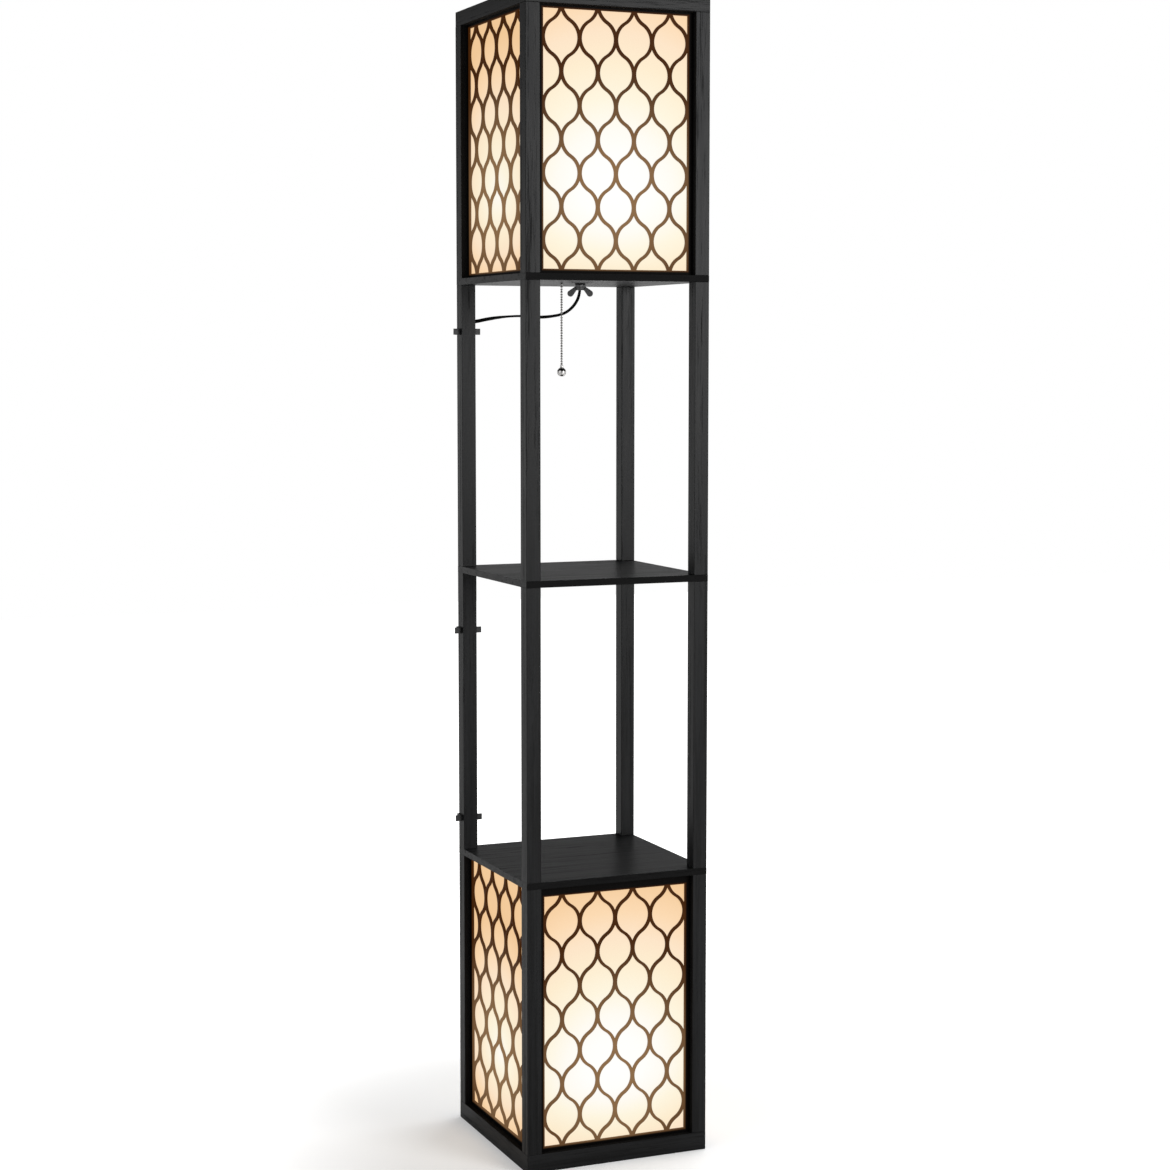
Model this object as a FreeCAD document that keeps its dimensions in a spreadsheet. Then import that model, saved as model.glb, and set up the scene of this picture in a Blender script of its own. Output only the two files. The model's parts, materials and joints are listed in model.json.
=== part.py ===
"""Shelf floor lamp: a square tower of posts and boards with a lantern box at each end.

The lamp stands on its base frame. Z is up, the origin is the middle of the footprint on the floor,
and -Y is the front. From the floor up: base frame, lower lantern, lower shelf, two open bays with
the middle shelf between them, the upper shelf, the upper lantern and the top frame. Lengths are in
millimetres.
"""

import FreeCAD, Part
import math
import os

import Sketcher

os.makedirs("parts", exist_ok=True)

SIZES = {
    # posts, boards and frames
    "body_side": 265.0,
    "post_side": 20.5,
    "shelf_thickness": 9.0,
    "base_height": 25.0,
    "lower_lantern_length": 362.0,
    "lower_bay_length": 395.0,
    "upper_bay_length": 395.0,
    "upper_lantern_length": 348.0,
    "top_height": 20.0,
    # joints between the posts and the boards
    "stud_radius": 3.0,
    "stud_depth": 15.0,
    "dowel_radius": 4.0,
    "dowel_depth": 12.0,
    "bore_clearance": 0.1,
    # floor board of the lower lantern, let into the base frame
    "base_board_thickness": 9.0,
    "base_board_lift": 12.0,
    "board_groove_depth": 4.0,
    "groove_clearance": 0.2,
    # lattice panels and the diffuser sheets behind them
    "panel_recess": 9.0,
    "lattice_thickness": 3.0,
    "diffuser_thickness": 1.0,
    "panel_groove_depth": 4.0,
    "panel_top_clearance": 0.4,
    "lattice_side_border": 8.0,
    "lattice_bottom_border": 6.0,
    "lower_front_border": 13.0,
    "lower_side_border": 5.0,
    "upper_front_border": 5.0,
    "upper_side_border": 5.0,
    "lower_cell_height": 89.0,
    "upper_cell_height": 87.5,
    "strip_width": 4.0,
    "waist_width": 5.2,
    # lampholders
    "nipple_radius": 4.95,
    "nipple_bore": 3.1,
    "nipple_rise": 9.0,
    "upper_nipple_drop": 9.0,
    "lower_nipple_drop": 7.0,
    "nipple_clearance": 0.15,
    "holder_flange_radius": 20.0,
    "holder_flange_thickness": 2.5,
    "holder_base_radius": 15.0,
    "holder_base_length": 20.0,
    "holder_wall": 2.0,
    "holder_shoulder": 5.0,
    "socket_radius": 16.5,
    "socket_floor": 4.0,
    "socket_rim": 1.3,
    "socket_rim_drop": 0.8,
    "socket_chamfer": 1.0,
    # bulbs
    "bulb_cap_radius": 13.1,
    "bulb_cap_length": 30.0,
    "bulb_cap_clearance": 0.4,
    "bulb_seat_gap": 0.3,
    "bulb_contact_radius": 4.6,
    "bulb_contact_height": 1.5,
    "bulb_insulator_height": 4.5,
    "bulb_thread_start": 5.5,
    "bulb_thread_depth": 1.0,
    "bulb_radius": 30.0,
    "bulb_centre_rise": 52.0,
    "bulb_neck_radius": 13.6,
    "bulb_shoulder_rise": 40.0,
    "bulb_wall": 1.2,
    # nuts on the nipples
    "nut_clearance": 0.05,
    "wing_nut_length": 8.0,
    "wing_nut_radius": 7.6,
    "wing_nut_gap": 0.3,
    "wing_nut_taper": 1.2,
    "wing_nut_collar": 2.0,
    "wing_root_rise": 3.6,
    "wing_root_reach": 4.455,
    "wing_length": 14.5,
    "wing_width": 7.6,
    "wing_thickness": 2.6,
    "wing_tip_radius": 4.7,
    "lock_nut_radius": 8.1,
    "lock_nut_thickness": 5.0,
    # pull chain
    "chain_x": -31.8,
    "chain_y": -10.0,
    "chain_bead_radius": 1.6,
    "chain_pitch": 3.5,
    "chain_wire_radius": 0.5,
    "chain_pivot_drop": 5.0,
    "chain_hole_radius": 5.0,
    "chain_arm_radius": 3.2,
    "chain_arm_rise": 33.0,
    "chain_mouth_radius": 4.2,
    "chain_mouth_bore": 2.4,
    "chain_mouth_length": 10.0,
    "chain_mouth_drop": 6.0,
    "chain_mouth_depth": 7.0,
    "pull_ball_radius": 6.2,
    "pull_ball_neck_radius": 2.4,
    "pull_ball_neck_length": 3.0,
    "pull_ball_gap": 0.2,
    # cord and its clips
    "cord_radius": 2.5,
    "clip_height": 8.6,
    "clip_wall": 2.0,
    "clip_clearance": 0.2,
    "clip_leg_length": 14.0,
    "clip_tab_reach": 7.3,
    "clip_ring_bore": 4.2,
    "clip_ring_wall": 1.6,
    "clip_ring_mouth": 3.6,
    "top_clip_rise": 330.0,
    "middle_clip_rise": 313.0,
    "bottom_clip_rise": 44.0,
    # plug
    "plug_relief_length": 26.0,
    "plug_relief_small": 3.4,
    "plug_relief_large": 5.6,
    "plug_width": 20.0,
    "plug_length": 26.0,
    "plug_rounding": 3.0,
    "blade_spacing": 12.7,
    "blade_length": 16.0,
    "blade_width": 6.3,
    "blade_thickness": 1.5,
    "blade_root": 4.0,
    # cable outlet of the lower lampholder, in the back rail of the base
    "grommet_x": -80.0,
    "grommet_lift": 6.2,
    "grommet_radius": 3.9,
    "grommet_bore": 3.0,
    "grommet_flange_radius": 5.4,
    "grommet_flange_thickness": 1.2,
}

CELL_COLUMNS = 4
SIDES = {"front": 0.0, "right": 90.0, "back": 180.0, "left": 270.0}
CORNERS = {"front_left": (-1, -1), "front_right": (1, -1), "back_right": (1, 1), "back_left": (-1, 1)}
BEAD_COUNT = 28
LINK_BEAD_COUNT = 2
CUT_MARGIN = 1.0
WING_TURN = -23.0
WING_SLOPE = 45.0

# The cord from the upper lampholder to the coil: out of the nipple, across the bay to the back of
# the back left post, down behind that post and along the floor.
CORD_ROUTE = [
    (0.0, 0.0, 1198.0),
    (0.0, 0.0, 1179.0),
    (-2.4, 3.2, 1165.0),
    (-9.6, 12.8, 1155.5),
    (-21.7, 28.7, 1152.4),
    (-38.6, 51.1, 1149.4),
    (-57.9, 76.6, 1152.6),
    (-77.2, 102.1, 1152.0),
    (-91.5, 120.6, 1150.2),
    (-100.4, 131.8, 1148.6),
    (-106.6, 138.8, 1147.6),
    (-113.2, 142.6, 1145.2),
    (-118.7, 142.2, 1140.8),
    (-121.6, 140.4, 1135.2),
    (-122.25, 138.9, 1128.0),
    (-122.25, 138.9, 30.0),
    (-120.5, 140.8, 15.5),
    (-113.0, 145.2, 5.4),
    (-100.0, 149.9, 2.8),
    (-83.0, 152.0, 2.6),
    (-66.0, 152.0, 2.6),
]

COIL_OUTER_RADIUS = 34.5
COIL_PITCH = 5.6
TURN_COUNT_IN = 4
TURN_COUNT_OUT = 5


class Size:
    """A length that carries its value and the sheet formula that gives it."""

    def __init__(self, value, formula):
        self.value = value
        self.formula = formula

    def __add__(self, other):
        other = sized(other)
        return Size(self.value + other.value, "(%s + %s)" % (self.formula, other.formula))

    def __sub__(self, other):
        other = sized(other)
        return Size(self.value - other.value, "(%s - %s)" % (self.formula, other.formula))

    def __mul__(self, factor):
        return Size(self.value * factor, "(%s * %s)" % (self.formula, repr(float(factor))))

    def __neg__(self):
        return self * -1.0



def sized(length):
    """A plain number as a Size, and a Size as it is."""
    if isinstance(length, Size):
        return length
    return Size(float(length), repr(float(length)))


doc = FreeCAD.newDocument("shelf_floor_lamp")
sheet = doc.addObject("Spreadsheet::Sheet", "Sizes")
for row, (word, length) in enumerate(SIZES.items(), start=1):
    sheet.set("A%d" % row, word)
    sheet.set("B%d" % row, repr(length))
    sheet.setAlias("B%d" % row, word)
doc.recompute()


def size(word):
    """The size of that name in the sheet."""
    return Size(float(sheet.get(word)), "Sizes." + word)


body_side = size("body_side")
post_side = size("post_side")
shelf_thickness = size("shelf_thickness")
half_side = body_side * 0.5
inner_half = half_side - post_side
post_centre = half_side - post_side * 0.5
cord_radius = size("cord_radius")
chain_x = size("chain_x")
chain_y = size("chain_y")
chain_pitch = size("chain_pitch")
bead_radius = size("chain_bead_radius")

# heights of the boards, from the floor up
base_top = size("base_height")
lower_shelf_bottom = base_top + size("lower_lantern_length")
lower_shelf_top = lower_shelf_bottom + shelf_thickness
middle_shelf_bottom = lower_shelf_top + size("lower_bay_length")
middle_shelf_top = middle_shelf_bottom + shelf_thickness
upper_shelf_bottom = middle_shelf_top + size("upper_bay_length")
upper_shelf_top = upper_shelf_bottom + shelf_thickness
top_frame_bottom = upper_shelf_top + size("upper_lantern_length")
base_board_bottom = size("base_board_lift")
base_board_top = base_board_bottom + size("base_board_thickness")

nodes = []


def bind(thing, values):
    """Ties each named property of thing to its size."""
    for name, length in values.items():
        thing.setExpression(name, sized(length).formula)
    return thing


def place(thing, x=0.0, y=0.0, z=0.0, turn=0.0, axis=(0, 0, 1)):
    """Puts thing's own origin at a point, turned about an axis through that point."""
    thing.Placement = FreeCAD.Placement(FreeCAD.Vector(), FreeCAD.Rotation(FreeCAD.Vector(*axis), turn))
    return bind(thing, {"Placement.Base.x": x, "Placement.Base.y": y, "Placement.Base.z": z})


def box(name, sides, x, y, z, turn=0.0, axis=(0, 0, 1)):
    """A box from its lowest corner."""
    solid = doc.addObject("Part::Box", name)
    bind(solid, {"Length": sides[0], "Width": sides[1], "Height": sides[2]})
    return place(solid, x, y, z, turn, axis)


def cylinder(name, radius, height, x=0.0, y=0.0, z=0.0, turn=0.0, axis=(0, 0, 1)):
    """A cylinder from the middle of its lower face."""
    solid = doc.addObject("Part::Cylinder", name)
    bind(solid, {"Radius": radius, "Height": height})
    return place(solid, x, y, z, turn, axis)


def cone(name, low_radius, high_radius, height, x=0.0, y=0.0, z=0.0, turn=0.0, axis=(0, 0, 1)):
    """A cone's frustum from the middle of its lower face."""
    solid = doc.addObject("Part::Cone", name)
    bind(solid, {"Radius1": low_radius, "Radius2": high_radius, "Height": height})
    return place(solid, x, y, z, turn, axis)


def sphere(name, radius, x=0.0, y=0.0, z=0.0):
    """A ball about its centre."""
    solid = doc.addObject("Part::Sphere", name)
    bind(solid, {"Radius": radius})
    return place(solid, x, y, z)


def cut(name, base, tool):
    """What is left of base without tool."""
    result = doc.addObject("Part::Cut", name)
    result.Base = base
    result.Tool = tool
    return result


def fuse(name, pieces):
    """Pieces joined into one."""
    result = doc.addObject("Part::MultiFuse", name)
    result.Shapes = pieces
    result.Refine = True
    return result


def group(name, pieces):
    """Pieces that stay apart, kept as one object."""
    result = doc.addObject("Part::Compound", name)
    result.Links = pieces
    return result


def node(name, thing):
    """Marks thing as a finished sub-part of that name."""
    thing.Label = name
    nodes.append(thing)
    return thing


def turned(name, outline, x=0.0, y=0.0, z=0.0, turn=0.0, axis=(0, 0, 1)):
    """A piece turned about its own vertical axis. The outline is its half section, as (radius, height)
    corners."""
    body = doc.addObject("PartDesign::Body", name)
    sketch = body.newObject("Sketcher::SketchObject", name + "_section")
    plane = [p for p in body.Origin.OriginFeatures if p.Role == "XZ_Plane"][0]
    sketch.AttachmentSupport = [(plane, "")]
    sketch.MapMode = "FlatFace"
    corners = [(sized(radius), sized(height)) for radius, height in outline]
    count = len(corners)
    for index, (radius, height) in enumerate(corners):
        after = corners[(index + 1) % count]
        start = FreeCAD.Vector(radius.value, height.value, 0)
        end = FreeCAD.Vector(after[0].value, after[1].value, 0)
        sketch.addGeometry(Part.LineSegment(start, end), False)
    for index in range(count):
        sketch.addConstraint(Sketcher.Constraint("Coincident", index, 2, (index + 1) % count, 1))
    for index, corner in enumerate(corners):
        for kind, length, axis_index in (("DistanceX", corner[0], -2), ("DistanceY", corner[1], -1)):
            if length.value == 0.0:
                sketch.addConstraint(Sketcher.Constraint("PointOnObject", index, 1, axis_index))
            else:
                held = sketch.addConstraint(Sketcher.Constraint(kind, -1, 1, index, 1, length.value))
                sketch.setExpression("Constraints[%d]" % held, length.formula)
    revolution = body.newObject("PartDesign::Revolution", name + "_turning")
    revolution.Profile = sketch
    revolution.ReferenceAxis = (sketch, ["V_Axis"])
    revolution.Angle = 360.0
    body.Tip = revolution
    return place(body, x, y, z, turn, axis)


# ---------------------------------------------------------------- posts, boards and frames


def joint_bores():
    """The bores on the four post axes: for a stud at each shelf and a dowel at each frame."""
    stud_bore = size("stud_radius") + size("bore_clearance")
    stud_reach = size("stud_depth") + size("bore_clearance")
    dowel_bore = size("dowel_radius") + size("bore_clearance")
    dowel_reach = size("dowel_depth") + size("bore_clearance")
    shelves = {"lower": lower_shelf_bottom, "middle": middle_shelf_bottom, "upper": upper_shelf_bottom}
    frames = {"base": base_top, "top": top_frame_bottom}
    bores = []
    for corner, (side_x, side_y) in CORNERS.items():
        x = post_centre * side_x
        y = post_centre * side_y
        for level, height in shelves.items():
            length = shelf_thickness + stud_reach * 2.0
            start = height - stud_reach
            bores.append(cylinder("bore_%s_%s" % (level, corner), stud_bore, length, x, y, start))
        for level, height in frames.items():
            length = dowel_reach * 2.0
            start = height - dowel_reach
            bores.append(cylinder("bore_%s_%s" % (level, corner), dowel_bore, length, x, y, start))
    return group("joint_bores", bores)


def fasteners():
    """The twelve shelf studs and the eight frame dowels."""
    studs = []
    dowels = []
    for corner, (side_x, side_y) in CORNERS.items():
        x = post_centre * side_x
        y = post_centre * side_y
        for height in (lower_shelf_bottom, middle_shelf_bottom, upper_shelf_bottom):
            length = shelf_thickness + size("stud_depth") * 2.0
            start = height - size("stud_depth")
            studs.append(cylinder("stud_" + corner, size("stud_radius"), length, x, y, start))
        for height in (base_top, top_frame_bottom):
            length = size("dowel_depth") * 2.0
            start = height - size("dowel_depth")
            dowels.append(cylinder("dowel_" + corner, size("dowel_radius"), length, x, y, start))
    node("shelf_studs", group("shelf_studs", studs))
    node("frame_dowels", group("frame_dowels", dowels))


def rail(name, turn, height, bottom):
    """One mitred rail of a square frame, longest on its outer face."""
    solid = doc.addObject("Part::Wedge", name)
    top = bottom + height
    bind(solid, {"Xmin": -half_side, "Xmax": half_side, "X2min": -inner_half, "X2max": inner_half})
    bind(solid, {"Ymin": -half_side, "Ymax": -inner_half})
    bind(solid, {"Zmin": bottom, "Zmax": top, "Z2min": bottom, "Z2max": top})
    return place(solid, turn=turn)


def square_board(name, half_width, thickness, bottom):
    """A square board about the lamp's axis."""
    return box(name, (half_width * 2.0, half_width * 2.0, thickness), -half_width, -half_width, bottom)


def base_frame(bores):
    """Four mitred rails with a groove for the floor board, the board, and the rubber ring of the cable
    outlet."""
    gap = size("groove_clearance")
    thickness = size("base_board_thickness")
    groove_half = inner_half + size("board_groove_depth")
    groove = square_board("board_groove", groove_half, thickness + gap, base_board_bottom)
    grommet_x = size("grommet_x")
    lift = size("grommet_lift")
    ring_radius = size("grommet_radius")
    outlet = cylinder("outlet_hole", ring_radius + size("bore_clearance"), post_side + 2.0 * CUT_MARGIN,
                      grommet_x, half_side + CUT_MARGIN, lift, 90.0, (1, 0, 0))
    for side, turn in SIDES.items():
        tools = [bores, groove] + ([outlet] if side == "back" else [])
        blank = rail("base_%s_blank" % side, turn, size("base_height"), sized(0.0))
        tool = group("base_%s_tools" % side, tools)
        node("base_rail_" + side, cut("base_rail_" + side, blank, tool))
    board = square_board("base_board_blank", groove_half - gap, thickness, base_board_bottom)
    hole = cylinder("base_board_hole", size("nipple_radius") + size("nipple_clearance"),
                    thickness + 2.0 * CUT_MARGIN, z=base_board_bottom - CUT_MARGIN)
    node("base_board", cut("base_board", board, hole))
    flange = size("grommet_flange_thickness")
    reach = post_side + flange * 2.0
    wide = size("grommet_flange_radius")
    bore = size("grommet_bore")
    section = [(bore, 0.0), (wide, 0.0), (wide, flange), (ring_radius, flange),
               (ring_radius, reach - flange), (wide, reach - flange), (wide, reach), (bore, reach)]
    ring = turned("cable_grommet", section, grommet_x, half_side + flange, lift, 90.0, (1, 0, 0))
    node("cable_grommet", ring)


def top_frame(bores):
    """Four mitred rails, open in the middle."""
    for side, turn in SIDES.items():
        blank = rail("top_%s_blank" % side, turn, size("top_height"), top_frame_bottom)
        node("top_rail_" + side, cut("top_rail_" + side, blank, bores))


def panel_slots(name, bottom, length):
    """The four upright slots that a lantern's panels slide into, as solids that reach into the posts."""
    gap = size("groove_clearance")
    slot_half = inner_half + size("panel_groove_depth")
    slot_width = size("lattice_thickness") + size("diffuser_thickness") + gap
    slots = []
    for side, turn in SIDES.items():
        slot = doc.addObject("Part::Box", "%s_slot_%s" % (name, side))
        bind(slot, {"Length": slot_half * 2.0, "Width": slot_width, "Height": length})
        slots.append(turned_about_lamp(slot, turn, -slot_half, size("panel_recess") - half_side, bottom))
    return group(name + "_panel_slots", slots)


def turned_about_lamp(thing, turn, x, y, z):
    """Puts thing at a point of the front side, then turns both about the lamp's axis to another side."""
    cosine = round(math.cos(math.radians(turn)))
    sine = round(math.sin(math.radians(turn)))
    return place(thing, x * cosine - y * sine, x * sine + y * cosine, z, turn)


def posts(name, bottom, length, bores, slots=None):
    """Four square posts between two boards."""
    for corner, (side_x, side_y) in CORNERS.items():
        x = post_centre * side_x - post_side * 0.5
        y = post_centre * side_y - post_side * 0.5
        blank = box("%s_%s_blank" % (name, corner), (post_side, post_side, length), x, y, bottom)
        tools = bores if slots is None else group("%s_%s_tools" % (name, corner), [bores, slots])
        node("%s_%s" % (name, corner), cut("%s_%s" % (name, corner), blank, tools))


def shelves(bores):
    """The three full-width boards. The upper one has the lampholder's hole and the chain's hole."""
    for level, bottom in (("lower", lower_shelf_bottom), ("middle", middle_shelf_bottom)):
        blank = square_board(level + "_shelf_blank", half_side, shelf_thickness, bottom)
        node(level + "_shelf", cut(level + "_shelf", blank, bores))
    under = upper_shelf_bottom - CUT_MARGIN
    through = shelf_thickness + 2.0 * CUT_MARGIN
    lamp_hole = cylinder("lamp_hole", size("nipple_radius") + size("nipple_clearance"), through, z=under)
    chain_hole = cylinder("chain_hole", size("chain_hole_radius"), through, chain_x, chain_y, under)
    blank = square_board("upper_shelf_blank", half_side, shelf_thickness, upper_shelf_bottom)
    tools = group("upper_shelf_tools", [bores, lamp_hole, chain_hole])
    node("upper_shelf", cut("upper_shelf", blank, tools))


# ---------------------------------------------------------------- lattice panels


def s_curve(cell_width, cell_height, offset):
    """A quarter of a cell's outline: two equal tangent arcs from the widest point at mid height to the
    tip, drawn inside the strip's middle line by offset. Gives both arcs' radii, their turn and the
    middle line's two ends."""
    spread = (size("waist_width").value - size("strip_width").value) / 2.0
    reach = cell_width / 2.0 - 2.0 * spread
    turn = 2.0 * math.atan2(reach, cell_height / 2.0)
    radius = (cell_height / 4.0) / math.sin(turn)
    belly_x = cell_width / 2.0 - spread
    return belly_x, spread, radius - offset, radius + offset, radius, turn


def window_quarter(cell_width, cell_height, offset):
    """The points of a window's quarter outline, belly arc then tip arc, cut where the tip meets the
    middle."""
    belly_x, tip_x, belly_radius, tip_radius, radius, turn = s_curve(cell_width, cell_height, offset)
    belly_centre = belly_x - radius
    tip_centre = tip_x + radius
    belly = []
    for share in (0.0, 0.5, 1.0):
        angle = turn * share
        belly.append((belly_centre + belly_radius * math.cos(angle), belly_radius * math.sin(angle)))
    end = math.acos(tip_centre / tip_radius)
    tip = []
    for share in (0.5, 1.0):
        angle = turn + (end - turn) * share
        across = tip_centre - tip_radius * math.cos(angle)
        tip.append((across, cell_height / 2.0 - tip_radius * math.sin(angle)))
    return belly, tip


def window(cell_width, cell_height, offset, x, z, depth):
    """One onion-shaped window as a solid through the panel, about its middle."""
    belly, tip = window_quarter(cell_width, cell_height, offset)
    edges = []
    for side_x, side_z in ((1, 1), (-1, 1), (-1, -1), (1, -1)):
        points = [FreeCAD.Vector(x + side_x * across, 0.0, z + side_z * up) for across, up in belly + tip]
        edges.append(Part.Arc(points[0], points[1], points[2]).toShape())
        edges.append(Part.Arc(points[2], points[3], points[4]).toShape())
    outline = Part.Wire(Part.__sortEdges__(edges))
    return Part.Face(outline).extrude(FreeCAD.Vector(0.0, depth, 0.0))


def lattice_shape(length, cell_height, top_border):
    """A lattice panel on the front side, its outer face on Y = 0 and its foot on Z = 0."""
    thickness = size("lattice_thickness").value
    half_width = panel_half().value
    height = (length - size("panel_top_clearance")).value
    glass_half = (inner_half - size("lattice_side_border")).value
    cell_width = 2.0 * glass_half / CELL_COLUMNS
    offset = size("strip_width").value / 2.0
    low = size("lattice_bottom_border").value
    high = (length - top_border).value
    windows = []
    rows = int(high / cell_height) + 2
    for column in range(2 * CELL_COLUMNS + 1):
        for row in range(rows):
            x = -glass_half + column * cell_width / 2.0
            z = (row + 0.5 * (column % 2)) * cell_height
            if z - cell_height < high:
                windows.append(window(cell_width, cell_height, offset, x, z, thickness))
    clear = Part.makeBox(2.0 * glass_half, thickness, high - low, FreeCAD.Vector(-glass_half, 0.0, low))
    openings = clear.common(Part.makeCompound(windows))
    plate = Part.makeBox(2.0 * half_width, thickness, height, FreeCAD.Vector(-half_width, 0.0, 0.0))
    return plate.cut(openings).Solids[0]


def panel_half():
    """Half the width of a panel, which stands in the posts' grooves with a small clearance."""
    return inner_half + size("panel_groove_depth") - size("groove_clearance")


def panels(name, bottom, length):
    """A lantern's four lattices and the four diffuser sheets behind them. The front and back lattices
    have one head border, and the two at the sides have another."""
    cell_height = size(name + "_cell_height").value
    across_lamp = lattice_shape(length, cell_height, size(name + "_front_border"))
    along_lamp = lattice_shape(length, cell_height, size(name + "_side_border"))
    recess = size("panel_recess")
    sheets = []
    for side, turn in SIDES.items():
        lattice_name = "%s_lattice_%s" % (name, side)
        lattice = doc.addObject("Part::Feature", lattice_name)
        lattice.Shape = across_lamp if side in ("front", "back") else along_lamp
        node(lattice_name, turned_about_lamp(lattice, turn, sized(0.0), recess - half_side, bottom))
        sheet_name = "%s_sheet_%s" % (name, side)
        diffuser = doc.addObject("Part::Box", sheet_name)
        bind(diffuser, {"Length": panel_half() * 2.0, "Width": size("diffuser_thickness")})
        bind(diffuser, {"Height": length - size("panel_top_clearance")})
        behind = recess + size("lattice_thickness") - half_side
        sheets.append(turned_about_lamp(diffuser, turn, -panel_half(), behind, bottom))
    node(name + "_diffusers", group(name + "_diffusers", sheets))


# ---------------------------------------------------------------- lampholders and bulbs


def lampholder(name, seat, chain_arm):
    """A lampholder on a board: its flanged base, and the socket shell with or without the chain's arm."""
    flange = size("holder_flange_thickness")
    base_radius = size("holder_base_radius")
    base_length = size("holder_base_length")
    wall = size("holder_wall")
    hole = size("nipple_radius") + size("nipple_clearance")
    foot = size("holder_flange_radius")
    shoulder = size("holder_shoulder")
    section = [(hole, 0.0), (foot, 0.0), (foot, flange), (base_radius, shoulder),
               (base_radius, base_length), (base_radius - wall, base_length),
               (base_radius - wall, shoulder), (hole, shoulder)]
    node(name + "_lampholder_base", turned(name + "_lampholder_base", section, z=seat))
    radius = size("socket_radius")
    bore = size("bulb_cap_radius") + size("bulb_cap_clearance")
    wide = radius + size("socket_rim")
    floor = size("socket_floor")
    chamfer = size("socket_chamfer")
    length = floor + size("bulb_seat_gap") + size("bulb_cap_length") - size("socket_rim_drop")
    section = [(0.0, 0.0), (wide, 0.0), (wide, floor - chamfer), (radius, floor),
               (radius, length - floor), (wide, length - floor + chamfer), (wide, length),
               (bore, length), (bore, floor), (0.0, floor)]
    shell_bottom = seat + base_length
    shell = turned(name + "_socket", section, z=shell_bottom)
    if chain_arm:
        shell = with_chain_arm(name, shell, seat)
    node(name + "_lampholder_shell", shell)


def with_chain_arm(name, shell, seat):
    """The socket shell with the hollow arm that leads the chain out and down."""
    reach = math.hypot(chain_x.value, chain_y.value)
    turn = math.degrees(math.atan2(chain_y.value, chain_x.value))
    centre = seat + size("chain_arm_rise")
    start = (size("socket_radius") - size("socket_chamfer")).value
    along = FreeCAD.Vector(math.cos(math.radians(turn)), math.sin(math.radians(turn)), 0.0)
    arm = doc.addObject("Part::Cylinder", name + "_chain_arm")
    bind(arm, {"Radius": size("chain_arm_radius"), "Height": sized(reach - start)})
    arm.Placement = FreeCAD.Placement(along * start, FreeCAD.Rotation(FreeCAD.Vector(0, 0, 1), along))
    bind(arm, {"Placement.Base.z": centre})
    mouth_radius = size("chain_mouth_radius")
    mouth_length = size("chain_mouth_length")
    mouth_bottom = centre - size("chain_mouth_drop")
    mouth = cylinder(name + "_chain_mouth", mouth_radius, mouth_length, chain_x, chain_y, mouth_bottom)
    whole = fuse(name + "_armed_shell", [shell, arm, mouth])
    bore = cylinder(name + "_chain_bore", size("chain_mouth_bore"), size("chain_mouth_depth") + CUT_MARGIN,
                    chain_x, chain_y, mouth_bottom - CUT_MARGIN)
    return cut(name + "_lampholder_shell", whole, bore)


def bulb(name, seat):
    """A screw-in bulb: the metal cap in the socket, and the hollow globe on it."""
    cap_bottom = seat + size("holder_base_length") + size("socket_floor") + size("bulb_seat_gap")
    contact = size("bulb_contact_radius")
    radius = size("bulb_cap_radius")
    length = size("bulb_cap_length")
    core = radius - size("bulb_thread_depth")
    section = [(0.0, 0.0), (contact, 0.0), (contact, size("bulb_contact_height")),
               (core, size("bulb_insulator_height")), (radius, size("bulb_thread_start")),
               (radius, length), (0.0, length)]
    node(name + "_bulb_cap", turned(name + "_bulb_cap", section, z=cap_bottom))
    neck = cap_bottom + length
    centre = neck + size("bulb_centre_rise")
    wall = size("bulb_wall")
    globe_radius = size("bulb_radius")
    rise = size("bulb_shoulder_rise")
    neck_radius = size("bulb_neck_radius")
    below = (size("bulb_centre_rise") - rise).value
    shoulder = sized(math.sqrt(globe_radius.value ** 2 - below ** 2))
    inner_shoulder = sized(math.sqrt((globe_radius - wall).value ** 2 - below ** 2))
    skin = [cone(name + "_neck", neck_radius, shoulder, rise, z=neck),
            sphere(name + "_globe", globe_radius, z=centre)]
    hollow = [cone(name + "_neck_inside", neck_radius - wall, inner_shoulder, rise, z=neck),
              sphere(name + "_globe_inside", globe_radius - wall, z=centre)]
    skin_whole = fuse(name + "_bulb_skin", skin)
    node(name + "_bulb_glass", cut(name + "_bulb_glass", skin_whole, fuse(name + "_bulb_hollow", hollow)))


def nipples_and_nuts():
    """The two threaded tubes that carry the lampholders, the wing nut under the upper shelf and the
    flat nut under the floor board."""
    bore = size("nipple_bore")
    radius = size("nipple_radius")
    rise = size("nipple_rise")
    tubes = []
    for name, top, under, drop in (
        ("upper", upper_shelf_top, upper_shelf_bottom, size("upper_nipple_drop")),
        ("lower", base_board_top, base_board_bottom, size("lower_nipple_drop")),
    ):
        bottom = under - drop
        length = top + rise - bottom
        section = [(bore, 0.0), (radius, 0.0), (radius, length), (bore, length)]
        tubes.append(turned(name + "_nipple", section, z=bottom))
    node("lamp_nipples", group("lamp_nipples", tubes))
    thread = radius + size("nut_clearance")
    node("wing_nut", wing_nut(thread))
    thickness = size("lock_nut_thickness")
    blank = doc.addObject("Part::Prism", "lock_nut_blank")
    blank.Polygon = 6
    bind(blank, {"Circumradius": size("lock_nut_radius"), "Height": thickness})
    place(blank, z=base_board_bottom - thickness)
    hole = cylinder("lock_nut_hole", thread, thickness + 2.0 * CUT_MARGIN,
                    z=base_board_bottom - thickness - CUT_MARGIN)
    node("lower_lock_nut", cut("lower_lock_nut", blank, hole))


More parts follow.
